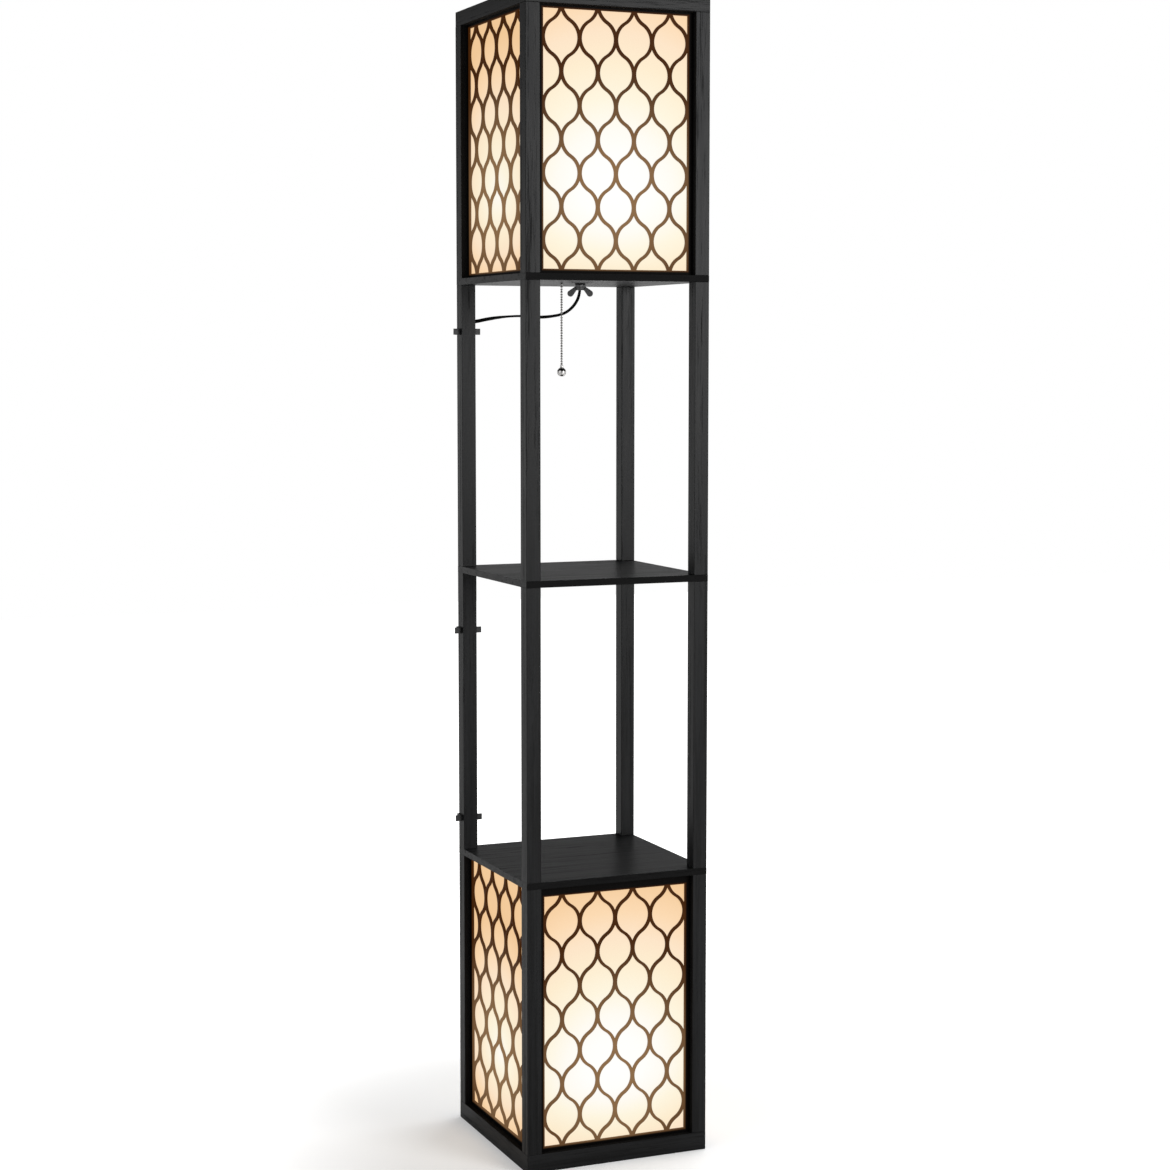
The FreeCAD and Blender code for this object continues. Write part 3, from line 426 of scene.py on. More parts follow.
@dataclass(frozen=True)
class CutLattice:
    """Dark brown thin board, cut into a lattice, with a painted warm glow that is strongest level with
    the bulb.
    """

    name: str
    glow_height: float
    opening: Pair
    dark: Colour = (0.010, 0.0032, 0.0007, 1.0)
    light: Colour = (0.026, 0.0085, 0.0018, 1.0)
    # Near-black border colour: the dark board with painted shade where it sits in the grooves beside the
    # posts and under the rails and shelves.
    border: Colour = (0.0012, 0.0007, 0.0005, 1.0)
    # Painted glow: warm colours the board emits, though it is no lamp, near the bulb's height and
    # further off.
    glow: Colour = (0.245, 0.142, 0.066, 1.0)
    painted_far_glow: Colour = (0.040, 0.0115, 0.0012, 1.0)
    fibre_scale: Point = (900.0, 900.0, 60.0)
    cloud_scale: Point = (30.0, 30.0, 22.0)
    glow_start: float = 0.02
    glow_reach: float = 0.19
    opening_half: float = 0.104
    border_fade: float = 0.0030

    def material(self) -> bpy.types.Material:
        """Builds the material.

        Returns:
            The finished material.
        """
        recipe = Recipe(self.name)
        fibre = recipe.noise(recipe.coordinates(self.fibre_scale), 3.0, 0.6)
        cloud = recipe.noise(recipe.coordinates(self.cloud_scale), 2.0)
        tone = recipe.step(fibre * 0.6 + cloud * 0.4, 0.35, 0.65)
        across, deep, up = recipe.parts(recipe.coordinates(centre=(0.0, 0.0, self.glow_height)))
        flat = across.size().least(deep.size())
        far = ((flat * flat) + (up * up)) ** 0.5
        near = 1.0 - recipe.step(far, self.glow_start, self.glow_reach)
        edge = self.past_opening(recipe)
        # The border is painted near-black as shade.
        colour = recipe.blend(edge, recipe.blend(tone, self.dark, self.light), self.border)
        # Painted glow: emission strongest level with the bulb, fading with distance, and none on the
        # border.
        lit = recipe.blend(near, self.painted_far_glow, self.glow)
        lit = recipe.blend(edge, lit, (0.0, 0.0, 0.0, 1.0))
        recipe.set(base_color=colour, roughness=0.5 + fibre * 0.2, specular_ior_level=0.05)
        recipe.set(emission_color=lit, emission_strength=1.0)
        recipe.set(normal=recipe.bump(fibre, 0.00008, 0.5))
        return recipe.material

    def past_opening(self, recipe: Recipe) -> Term:
        """How far into the border, which is painted near-black as shade, a point is.

        Args:
            recipe: The material's recipe.

        Returns:
            0 over the lit opening, rising to 1 within the border.
        """
        middle = (self.opening[0] + self.opening[1]) / 2.0
        half_tall = (self.opening[1] - self.opening[0]) / 2.0
        across, deep, up = recipe.parts(recipe.coordinates(centre=(0.0, 0.0, middle)))
        sideways = across.size().least(deep.size()) - self.opening_half
        return recipe.step(sideways.most(up.size() - half_tall), 0.0, self.border_fade)


@dataclass(frozen=True)
class LitSheet:
    """Thin translucent sheet, lit from behind by a bulb: white near the bulb and warmer away from it."""

    name: str
    bulb_height: float
    warmth: float = 1.0
    steps: tuple[tuple[float, Colour], ...] = (
        (0.00, (0.98, 0.98, 0.955, 1.0)),
        (0.17, (0.96, 0.95, 0.930, 1.0)),
        (0.28, (0.95, 0.92, 0.860, 1.0)),
        (0.42, (0.94, 0.87, 0.700, 1.0)),
        (0.57, (0.935, 0.80, 0.590, 1.0)),
        (0.70, (0.93, 0.735, 0.540, 1.0)),
        (0.83, (0.92, 0.655, 0.410, 1.0)),
        (1.00, (0.85, 0.550, 0.290, 1.0)),
    )
    side_drop: float = 0.085
    below_factor: float = 1.6
    reach: float = 0.30
    sheet_half: float = 0.118
    clouds_per_m: float = 260.0
    cloudiness: float = 0.03

    def material(self) -> bpy.types.Material:
        """Builds the material.

        Returns:
            The finished material.
        """
        recipe = Recipe(self.name)
        across, deep, up = recipe.parts(recipe.coordinates(centre=(0.0, 0.0, self.bulb_height)))
        flat = across.size().least(deep.size())
        paper = recipe.noise(recipe.coordinates((self.clouds_per_m,) * 3), 4.0, 0.65)
        reach_up = up.most(up * -self.below_factor)
        on_side = across.size() > self.sheet_half
        distance = ((flat * flat) + (reach_up * reach_up)) ** 0.5 * self.warmth
        place = (distance + on_side * self.side_drop) / self.reach + (paper - 0.5) * self.cloudiness
        lit = recipe.add("ShaderNodeValToRGB", {"stops": self.steps}, {"Fac": place}, "Color")
        recipe.set(base_color=(0.05, 0.045, 0.035, 1.0), roughness=0.6, specular_ior_level=0.1)
        recipe.set(emission_color=lit, emission_strength=1.0)
        recipe.set(normal=recipe.bump(paper, 0.00005, 0.3))
        return recipe.material


@dataclass(frozen=True)
class Moulding:
    """Moulded plastic or rubber with a fine spark-eroded texture."""

    name: str
    colour: Colour
    scuffed: Colour
    gloss: float = 0.42
    texture_per_m: float = 2600.0
    shine: float = 0.5
    scuffs_per_m: float = 120.0

    def material(self) -> bpy.types.Material:
        """Builds the material.

        Returns:
            The finished material.
        """
        recipe = Recipe(self.name)
        texture = recipe.noise(recipe.coordinates((self.texture_per_m,) * 3), 2.0)
        scuffs = recipe.noise(recipe.coordinates((self.scuffs_per_m,) * 3), 4.0, 0.7)
        scuff = recipe.step(scuffs, 0.5, 0.75)
        recipe.set(base_color=recipe.blend(scuff * 0.6, self.colour, self.scuffed))
        recipe.set(roughness=self.gloss + texture * 0.12 + scuff * 0.08, specular_ior_level=self.shine)
        recipe.set(normal=recipe.bump(texture, 0.00003, 0.6))
        return recipe.material


@dataclass(frozen=True)
class BrightMetal:
    """Plated or turned metal with faint marks from handling."""

    name: str
    colour: Colour
    worn: Colour
    gloss: float = 0.12
    turned_per_m: float = 0.0
    smears_per_m: float = 380.0
    turned_depth: float = 0.00035
    smear_depth: float = 0.00002

    def material(self) -> bpy.types.Material:
        """Builds the material.

        Returns:
            The finished material.
        """
        recipe = Recipe(self.name)
        smear = recipe.noise(recipe.coordinates((self.smears_per_m,) * 3), 4.0, 0.6)
        mark = recipe.step(smear, 0.48, 0.7)
        recipe.set(base_color=recipe.blend(mark, self.colour, self.worn), metallic=1.0)
        recipe.set(roughness=self.gloss + mark * 0.14)
        height, depth = smear, self.smear_depth
        if self.turned_per_m:
            _, _, up = recipe.parts(recipe.coordinates())
            height = (up * (self.turned_per_m * math.tau)).wave() * 0.5 + 0.5
            depth = self.turned_depth
        recipe.set(normal=recipe.bump(height, depth, 0.7))
        return recipe.material


@dataclass(frozen=True)
class BulbGlass:
    """Frosted glass, lit from inside and dimmer at its neck."""

    name: str
    globe_height: float
    strength: float = 2.2
    frost_per_m: float = 900.0
    glow_drop: float = 0.065
    neck_glow: Colour = (0.85, 0.55, 0.28, 1.0)
    globe_glow: Colour = (1.0, 0.90, 0.72, 1.0)
    frosted: Colour = (0.92, 0.90, 0.86, 1.0)

    def material(self) -> bpy.types.Material:
        """Builds the material.

        Returns:
            The finished material.
        """
        recipe = Recipe(self.name)
        _, _, up = recipe.parts(recipe.coordinates(centre=(0.0, 0.0, self.globe_height)))
        frost = recipe.noise(recipe.coordinates((self.frost_per_m,) * 3), 3.0)
        core = recipe.step(up + frost * 0.004, -self.glow_drop, 0.0)
        lit = recipe.blend(core, self.neck_glow, self.globe_glow)
        recipe.set(base_color=self.frosted, roughness=0.35 + frost * 0.1)
        recipe.set(emission_color=lit, emission_strength=self.strength)
        recipe.set(normal=recipe.bump(frost, 0.00002, 0.4))
        return recipe.material


@dataclass(frozen=True)
class PlainBeech:
    """Pale beech of the hidden dowels, with short flecks along the grain."""

    name: str
    pale: Colour = (0.56, 0.37, 0.20, 1.0)
    fleck: Colour = (0.36, 0.20, 0.095, 1.0)
    fleck_scale: Point = (1400.0, 1400.0, 90.0)

    def material(self) -> bpy.types.Material:
        """Builds the material.

        Returns:
            The finished material.
        """
        recipe = Recipe(self.name)
        fleck = recipe.noise(recipe.coordinates(self.fleck_scale), 3.0)
        share = recipe.step(fleck, 0.5, 0.72)
        recipe.set(base_color=recipe.blend(share, self.pale, self.fleck), roughness=0.6 + fleck * 0.15)
        recipe.set(normal=recipe.bump(fleck, 0.0001, 0.4))
        return recipe.material


# ---------------------------------------------------------------- workshop tools


class Bench:
    """The operators that the pieces are made with."""

    @staticmethod
    def clear() -> None:
        """Deselects everything."""
        bpy.ops.object.select_all(action="DESELECT")

    @staticmethod
    def take(*pieces: Object) -> Object:
        """Selects pieces alone, the first one active.

        Args:
            pieces: The pieces to select.

        Returns:
            The first piece.
        """
        Bench.clear()
        for piece in pieces:
            piece.select_set(True)
        bpy.context.view_layer.objects.active = pieces[0]
        return pieces[0]

    @staticmethod
    def pick(piece: Object, chosen: Callable[[Vector], bool]) -> None:
        """Opens a piece in edit mode with some of its points selected.

        Args:
            piece: The piece, whose object is at the origin.
            chosen: Says of a point whether it is selected.
        """
        Bench.take(piece)
        bpy.ops.object.mode_set(mode="EDIT")
        bpy.ops.mesh.select_mode(type="VERT")
        bpy.ops.mesh.select_all(action="DESELECT")
        bpy.ops.object.mode_set(mode="OBJECT")
        for point in piece.data.vertices:
            point.select = chosen(point.co)
        bpy.ops.object.mode_set(mode="EDIT")

    @staticmethod
    def settle(piece: Object) -> Object:
        """Puts a piece's place, turn and size into its mesh, so that its object is at the origin.

        Args:
            piece: The piece.

        Returns:
            The same piece.
        """
        Bench.take(piece)
        bpy.ops.object.transform_apply(location=True, rotation=True, scale=True)
        return piece

    @staticmethod
    def join(name: str, pieces: Sequence[Object]) -> Object:
        """Joins settled pieces into one object.

        Args:
            name: The joined piece's name.
            pieces: The pieces.

        Returns:
            The joined piece.
        """
        Bench.take(*pieces)
        bpy.ops.object.join()
        joined = bpy.context.view_layer.objects.active
        joined.name = name
        joined.data.name = name
        return joined

    @staticmethod
    def ease(piece: Object, width: float, segments: int = 2) -> Object:
        """Rounds a piece's sharp edges and shades it smooth between them.

        Args:
            piece: The piece.
            width: The rounding's width in metres.
            segments: Faces across the rounding.

        Returns:
            The same piece.
        """
        Bench.take(piece)
        bevel = piece.modifiers.new("eased_edges", "BEVEL")
        bevel.width = width
        bevel.segments = segments
        bevel.limit_method = "ANGLE"
        bevel.angle_limit = math.radians(BEVEL_FROM_DEG)
        bevel.use_clamp_overlap = True
        bpy.ops.object.modifier_apply(modifier=bevel.name)
        bpy.ops.object.shade_smooth_by_angle(angle=math.radians(SMOOTH_BELOW_DEG))
        flat = piece.modifiers.new("flat_faces_stay_flat", "WEIGHTED_NORMAL")
        flat.keep_sharp = True
        flat.weight = 90
        bpy.ops.object.modifier_apply(modifier=flat.name)
        return piece

    @staticmethod
    def cast(node: str, name: str) -> Object:
        """A welded copy of a frame node's mesh, with its flat faces made whole.

        Args:
            node: The frame node.
            name: The copy's name.

        Returns:
            The copy.
        """
        mesh = frame["nodes"][node].data.copy()
        mesh.name = name
        piece = bpy.data.objects.new(name, mesh)
        bpy.context.scene.collection.objects.link(piece)
        mesh.materials.clear()
        Bench.take(piece)
        bpy.ops.object.mode_set(mode="EDIT")
        bpy.ops.mesh.select_all(action="SELECT")
        bpy.ops.mesh.remove_doubles(threshold=WELD_DISTANCE)
        bpy.ops.mesh.dissolve_limited(angle_limit=math.radians(FLAT_DEG))
        bpy.ops.object.mode_set(mode="OBJECT")
        return piece

    @staticmethod
    def lathe(name: str, outline: Sequence[Pair], foot: Vector, steps: int = 48) -> Object:
        """A piece turned about an upright axis.

        Args:
            name: The piece's name.
            outline: Its half section as (radius, height) points in metres, from one end to the other.
            foot: The axis's lower end.
            steps: Faces round the axis.

        Returns:
            The turned piece.
        """
        Bench.clear()
        start = foot + Vector((outline[0][0], 0.0, outline[0][1]))
        bpy.ops.mesh.primitive_plane_add(size=SEED_SIZE, location=start)
        piece = Bench.settle(bpy.context.view_layer.objects.active)
        piece.name = name
        piece.data.name = name
        Bench.pick(piece, lambda point: True)
        bpy.ops.mesh.merge(type="CENTER")
        for (radius, height), (next_radius, next_height) in zip(outline, outline[1:]):
            move = (next_radius - radius, 0.0, next_height - height)
            bpy.ops.mesh.extrude_vertices_move(TRANSFORM_OT_translate={"value": move})
        bpy.ops.mesh.select_all(action="SELECT")
        bpy.ops.mesh.spin(steps=steps, angle=math.tau, center=foot, axis=(0.0, 0.0, 1.0))
        bpy.ops.mesh.select_all(action="SELECT")
        bpy.ops.mesh.remove_doubles(threshold=WELD_DISTANCE)
        bpy.ops.mesh.normals_make_consistent(inside=False)
        bpy.ops.object.mode_set(mode="OBJECT")
        bpy.ops.object.shade_smooth_by_angle(angle=math.radians(SMOOTH_BELOW_DEG))
        return piece

    @staticmethod
    def cut(piece: Object, tool: Object) -> Object:
        """Cuts one piece with another, which is then removed.

        Args:
            piece: The piece to cut.
            tool: The cutter.

        Returns:
            The cut piece.
        """
        Bench.take(piece)
        cutter = piece.modifiers.new("cut", "BOOLEAN")
        cutter.operation = "DIFFERENCE"
        cutter.object = tool
        bpy.ops.object.modifier_apply(modifier=cutter.name)
        bpy.data.objects.remove(tool)
        return piece


@dataclass
class Assembly:
    """A group of pieces that share finishes and are reported together."""

    finishes: dict[str, bpy.types.Material]
    made: list[str] = field(default_factory=list)

    def fit(self, piece: Object, nodes: Sequence[str], finish: str, slot: str) -> Object:
        """Finishes a new piece and lets it stand for its frame nodes.

        Args:
            piece: The new piece.
            nodes: The frame nodes that it replaces, all on one body.
            finish: The name of its finish.
            slot: The record's material slot; not used.

        Returns:
            The same piece.
        """
        piece.data.materials.clear()
        piece.data.materials.append(self.finishes[finish])
        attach(piece, frame["nodes"][nodes[0]]["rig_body"])
        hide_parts(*nodes)
        self.made.append(piece.name)
        log.info("%s stands for %s", piece.name, ", ".join(nodes))
        return piece

    def dress(self, node: str, finish: str) -> None:
        """Gives a frame node whose shape is right its finish.

        Args:
            node: The frame node.
            finish: The name of its finish.
        """
        mesh = frame["nodes"][node].data
        mesh.materials.clear()
        mesh.materials.append(self.finishes[finish])
        self.made.append(node)
        log.info("%s keeps its shape, finished as %s", node, finish)


# ---------------------------------------------------------------- timber


@dataclass
class Timberwork(Assembly):
    """The posts, rails and boards, and the fixings hidden in them."""

    edge: float = 0.0007

    def build(self) -> None:
        """Makes every timber piece with eased edges."""
        for stage in ("lower_lantern", "lower_bay", "upper_bay", "upper_lantern"):
            for corner in CORNERS:
                finish = "timber_grooved_post" if stage.endswith("lantern") else "timber_z"
                self.board(f"{stage}_post_{corner}", finish, "frame_wood")
        for ring in ("base", "top"):
            for side in Side:
                grain = Grain.ALONG_X if side in (Side.FRONT, Side.BACK) else Grain.ALONG_Y
                self.board(f"{ring}_rail_{side.value}", f"timber_{ring}_{grain.value}", "frame_wood")
        for shelf in ("lower_shelf", "middle_shelf", "upper_shelf", "base_board"):
            self.board(shelf, "timber_shelf", "shelf_wood")
        self.dress("frame_dowels", "beech")
        self.dress("shelf_studs", "zinc")

    def board(self, node: str, finish: str, slot: str) -> None:
        """Makes one post, rail or board.

        Args:
            node: Its frame node.
            finish: The name of its finish.
            slot: Its material slot.
        """
        piece = Bench.ease(Bench.cast(node, node + "_timber"), self.edge)
        self.fit(piece, [node], finish, slot)


# ---------------------------------------------------------------- lanterns


@dataclass
class Lantern(Assembly):
    """One lantern: its lattices, lit sheets, lampholder and bulb."""

    level: Level = Level.LOWER
    moulded_edge: float = 0.0004
    thread_pitch: float = 0.0036
    thread_depth: float = 0.0007
    thread_steps: int = 8
    thread_start: float = 0.0058
    thread_margin: float = 0.0040
    contact_radius: float = 0.0046
    contact_edge: float = 0.0006
    contact_height: float = 0.0015
    slope_inset: float = 0.0022
    slope_height: float = 0.0048
    cap_edge: float = 0.0008
    cap_skirt: float = 0.0022
    neck_radius: float = 0.0134
    neck_height: float = 0.004
    neck_steps: int = 14
    crown_steps: int = 32
    meet_deg: float = -28.0
    straight_share: float = 0.35

    def build(self) -> None:
        """Makes the lantern's pieces."""
        name = self.level.value
        for side in Side:
            self.dress(f"{name}_lattice_{side.value}", f"{name}_lattice_{side.value}")
        self.dress(name + "_diffusers", name + "_sheet")
        self.holder()
        self.bulb_cap()
        self.bulb_globe()

    def holder(self) -> None:
        """Makes the lampholder's base and socket shell with soft moulded edges."""
        for part in ("base", "shell"):
            node = f"{self.level.value}_lampholder_{part}"
            piece = Bench.ease(Bench.cast(node, node + "_moulding"), self.moulded_edge)
            self.fit(piece, [node], "holder", "holder_plastic")

    def bulb_cap(self) -> None:
        """Makes the bulb's rolled metal cap: the contact, a slope up from it and the thread."""
        node = self.level.value + "_bulb_cap"
        low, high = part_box(node)
        radius = (high.x - low.x) / 2.0
        tall = high.z - low.z
        contact = self.contact_radius
        outline = [
            (0.0, 0.0),
            (contact - self.contact_edge, 0.0),
            (contact, self.contact_edge),
            (contact, self.contact_height),
            (radius - self.slope_inset, self.slope_height),
        ]
        turns = int((tall - self.thread_start - self.thread_margin) / self.thread_pitch)
        for step in range(turns * self.thread_steps + 1):
            phase = math.tau * step / self.thread_steps
            height = self.thread_start + step * self.thread_pitch / self.thread_steps
            outline.append((radius - self.thread_depth * (1.0 + math.cos(phase)) * 0.5, height))
        skirt = radius - self.cap_edge
        outline += [(skirt, tall - self.cap_skirt), (skirt, tall), (0.0, tall)]
        foot = Vector(((low.x + high.x) / 2.0, (low.y + high.y) / 2.0, low.z))
        self.fit(Bench.lathe(node + "_rolled", outline, foot), [node], "bulb_cap", "bulb_cap")

    def bulb_globe(self) -> None:
        """Makes the pear-shaped glass, one smooth curve from the neck to the crown."""
        node = self.level.value + "_bulb_glass"
        low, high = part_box(node)
        radius = (high.x - low.x) / 2.0
        tall = high.z - low.z
        centre = tall - radius
        meet = math.radians(self.meet_deg)
        wider = radius * math.cos(meet) - self.neck_radius
        higher = centre + radius * math.sin(meet) - self.neck_height
        outline = [(self.neck_radius, 0.0), (self.neck_radius, self.neck_height)]
        for step in range(1, self.neck_steps):
            share = step / self.neck_steps
            ease = share * share * (3.0 - 2.0 * share)
            bowed = self.straight_share * share + (1.0 - self.straight_share) * ease
            outline.append((self.neck_radius + wider * bowed, self.neck_height + higher * share))
        for step in range(self.crown_steps + 1):
            angle = meet + (math.pi / 2.0 - meet) * step / self.crown_steps
            outline.append((radius * math.cos(angle), centre + radius * math.sin(angle)))
        foot = Vector(((low.x + high.x) / 2.0, (low.y + high.y) / 2.0, low.z))
        piece = Bench.lathe(node + "_globe", outline, foot, steps=64)
        self.fit(piece, [node], self.level.value + "_glass", "bulb_glass")


# ---------------------------------------------------------------- nipples and nuts


@dataclass
class Fixings(Assembly):
    """The threaded nipples, the wing nut and the flat nut."""

    nut_edge: float = 0.0003
    wing_turn_deg: float = -23.0
    wing_slope_deg: float = 45.0
    wing_root: float = 0.0046
    wing_reach: float = 0.0150
    wing_root_half: float = 0.0024
    wing_tip_radius: float = 0.0044
    wing_thickness: float = 0.0026
    wing_edge: float = 0.0007
    wing_height: float = 0.0036
    wing_sunk_share: float = 0.4
    thread_radius: float = 0.0050
    hub_radius: float = 0.0070
    hub_height: float = 0.0080
    hub_edge: float = 0.0004
    hub_waist: float = 0.0030
    flange_foot: float = 0.0052
    flange_reach: float = 0.0005

    def build(self) -> None:
        """Makes the fixings."""
        self.dress("lamp_nipples", "threaded_zinc")
        nut = Bench.ease(Bench.cast("lower_lock_nut", "lower_lock_nut_turned"), self.nut_edge)
        self.fit(nut, ["lower_lock_nut"], "brass", "brass")
        self.wing_nut()

    def wing_nut(self) -> None:
        """Makes the wing nut: a collared hub and two club-shaped wings that slant out and down."""
        _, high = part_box("wing_nut")
        foot = Vector((0.0, 0.0, high.z - self.hub_height))
        bore, hub, tall, edge = self.thread_radius, self.hub_radius, self.hub_height, self.hub_edge
        flange, round_off = hub + self.flange_reach, 1.5 * edge
        outline = [
            (bore, edge),
            (bore + edge, 0.0),
            (hub - 2.0 * round_off, 0.0),
            (hub - round_off, round_off),
            (hub - edge / 2.0, self.hub_waist),
            (hub, self.flange_foot),
            (flange, self.flange_foot + round_off),
            (flange, tall - round_off),
            (hub, tall),
            (bore + edge, tall),
            (bore, tall - edge),
            (bore, edge),
        ]
        pieces = [Bench.lathe("wing_nut_hub", outline, foot)]
        pieces += [self.wing(foot.z + self.wing_height, half_turn) for half_turn in (0.0, 180.0)]
        nut = Bench.join("wing_nut_cast", pieces)
        self.fit(nut, ["wing_nut"], "black_nickel", "black_metal")

    def wing(self, height: float, half_turn_deg: float) -> Object:
        """Makes one wing: a disc whose inner half is drawn in towards the hub, then thickened.

        Args:
            height: The height of the wing's root.
            half_turn_deg: 0 for one wing, 180 for the other.

        Returns:
            The wing.
        """
        Bench.clear()
        bpy.ops.mesh.primitive_circle_add(vertices=40, radius=self.wing_tip_radius, fill_type="NGON")
        wing = bpy.context.view_layer.objects.active
        drawn = self.wing_reach - self.wing_root
        narrow = self.wing_root_half / self.wing_tip_radius
        Bench.pick(wing, lambda point: point.x < -WELD_DISTANCE)
        bpy.ops.transform.resize(value=(narrow, narrow, 1.0), center_override=(0.0, 0.0, 0.0))
        bpy.ops.transform.translate(value=(-drawn, 0.0, 0.0))
        bpy.ops.object.mode_set(mode="OBJECT")
        thick = wing.modifiers.new("thickness", "SOLIDIFY")
        thick.thickness = self.wing_thickness
        thick.offset = 0.0
        bpy.ops.object.modifier_apply(modifier=thick.name)
        Bench.ease(wing, self.wing_edge, 3)
        upright = Matrix.Rotation(math.radians(90.0), 4, "X")
        slope = Matrix.Rotation(math.radians(self.wing_slope_deg), 4, "Y")
        turn = Matrix.Rotation(math.radians(self.wing_turn_deg + half_turn_deg), 4, "Z")
        root = Matrix.Translation((self.wing_root, 0.0, 0.0))
        out = Matrix.Translation((drawn + self.wing_root * self.wing_sunk_share, 0.0, 0.0))
        up = Matrix.Translation((0.0, 0.0, height))
        wing.matrix_world = up @ turn @ root @ slope @ out @ upright
        return Bench.settle(wing)


# ---------------------------------------------------------------- pull chain


@dataclass
class PullChain(Assembly):
    """The bead chain in its three stretches and the ball on its end."""

    bead_radius: float = 0.0016
    pitch: float = 0.0035
    wire_radius: float = 0.00045
    wire_steps: int = 10
    wire_sunk_share: float = 0.75
    seam: float = 0.00012
    rim_share: float = 1.7
    bead_rows: int = 10
    bead_steps: int = 16
    ball_rows: int = 40
    ball_groove: float = 0.00018
    collar_radius: float = 0.0021
    collar_flare: float = 0.0004
    collar_length: float = 0.0024
    collar_lip: float = 0.0008
    collar_edge: float = 0.0003
    collar_mouth: float = 0.0015

    def build(self) -> None:
        """Makes the chain's pieces."""
        for node in ("pull_chain_top", "pull_chain_link", "pull_chain_drop"):
            self.stretch(node)
        self.ball()

    def bead_outline(self) -> list[Pair]:
        """One hollow bead: a ball with a rolled rim at each end.

        Returns:
            Its half section from the bottom up.
        """
        radius, wire = self.bead_radius, self.wire_radius
        rim = math.acos(min(1.0, wire * self.rim_share / radius))
        outline = [(wire, -radius * math.sin(rim) + self.seam)]
        for step in range(self.bead_rows + 1):
            angle = -rim + 2.0 * rim * step / self.bead_rows
            outline.append((radius * math.cos(angle), radius * math.sin(angle)))
        outline.append((wire, radius * math.sin(rim) - self.seam))
        return outline

    def stretch(self, node: str) -> None:
        """Makes one stretch of beads on their wire.

        Args:
            node: Its frame node.
        """
        low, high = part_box(node)
        middle = (low + high) / 2.0
        count = round((high.z - low.z - 2.0 * self.bead_radius) / self.pitch) + 1
        first = Vector((middle.x, middle.y, high.z - self.bead_radius))
        bead = Bench.lathe(node + "_bead", self.bead_outline(), first, self.bead_steps)
        pieces = [bead]
        for index in range(1, count):
            copy = bead.copy()
            copy.data = bead.data.copy()
            bpy.context.scene.collection.objects.link(copy)
            copy.location.z = -index * self.pitch
            pieces.append(Bench.settle(copy))
        inset = self.bead_radius * self.wire_sunk_share
        long = high.z - low.z - 2.0 * inset
        outline = [(0.0, 0.0), (self.wire_radius, 0.0), (self.wire_radius, long), (0.0, long)]
        foot = Vector((middle.x, middle.y, low.z + inset))
        pieces.append(Bench.lathe(node + "_wire", outline, foot, self.wire_steps))
        self.fit(Bench.join(node + "_beads", pieces), [node], "nickel", "chain_metal")

    def ball(self) -> None:
        """Makes the pull ball: polished, with a fine seam and a collar that grips the last bead."""
        low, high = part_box("pull_ball")
        radius = (high.x - low.x) / 2.0
        centre = low.z + radius
        collar = high.z - centre
        throat, flare, edge = self.collar_radius, self.collar_flare, self.collar_edge
        foot = collar - self.collar_length
        outline = [(0.0, -radius)]
        for step in range(1, self.ball_rows):
            angle = math.pi * (step / self.ball_rows - 0.5)
            groove = self.ball_groove if step == self.ball_rows // 2 else 0.0
            if math.sin(angle) * radius < foot - 2.5 * flare:
                outline.append(((radius - groove) * math.cos(angle), radius * math.sin(angle)))
        outline += [
            (throat + flare, foot - 2.0 * edge),
            (throat, foot),
            (throat, collar - self.collar_lip),
            (throat + edge, collar - edge),
            (throat + edge / 3.0, collar),
            (self.collar_mouth, collar),
            (0.0, collar - 2.0 * edge),
        ]
        middle = (low + high) / 2.0
        middle.z = centre
        piece = Bench.lathe("pull_ball_polished", outline, middle)
        self.fit(piece, ["pull_ball"], "chrome", "chain_metal")


# ---------------------------------------------------------------- cord


CORD_ROUTE: tuple[Point, ...] = (
    (0.0, 0.0, 1.1980),
    (0.0, 0.0, 1.1810),
    (-0.0052, 0.0070, 1.1655),
    (-0.0144, 0.0192, 1.1544),
    (-0.0262, 0.0348, 1.1508),
    (-0.0400, 0.0530, 1.1494),
    (-0.0579, 0.0766, 1.1521),
    (-0.0772, 0.1021, 1.1506),
    (-0.0915, 0.1206, 1.1478),
    (-0.0994, 0.1316, 1.1454),
    (-0.1062, 0.1387, 1.1440),
    (-0.1132, 0.1426, 1.1418),
    (-0.1187, 0.1422, 1.1385),
    (-0.1216, 0.1404, 1.1340),
    (-0.12225, 0.1389, 1.1275),
    (-0.12225, 0.1389, 1.0980),
    (-0.12225, 0.1389, 0.0600),
    (-0.12225, 0.1389, 0.0300),
    (-0.1205, 0.1408, 0.0155),
    (-0.1130, 0.1452, 0.0054),
    (-0.1000, 0.1499, 0.0028),
    (-0.0830, 0.1520, 0.0026),
    (-0.0660, 0.1520, 0.0026),
)


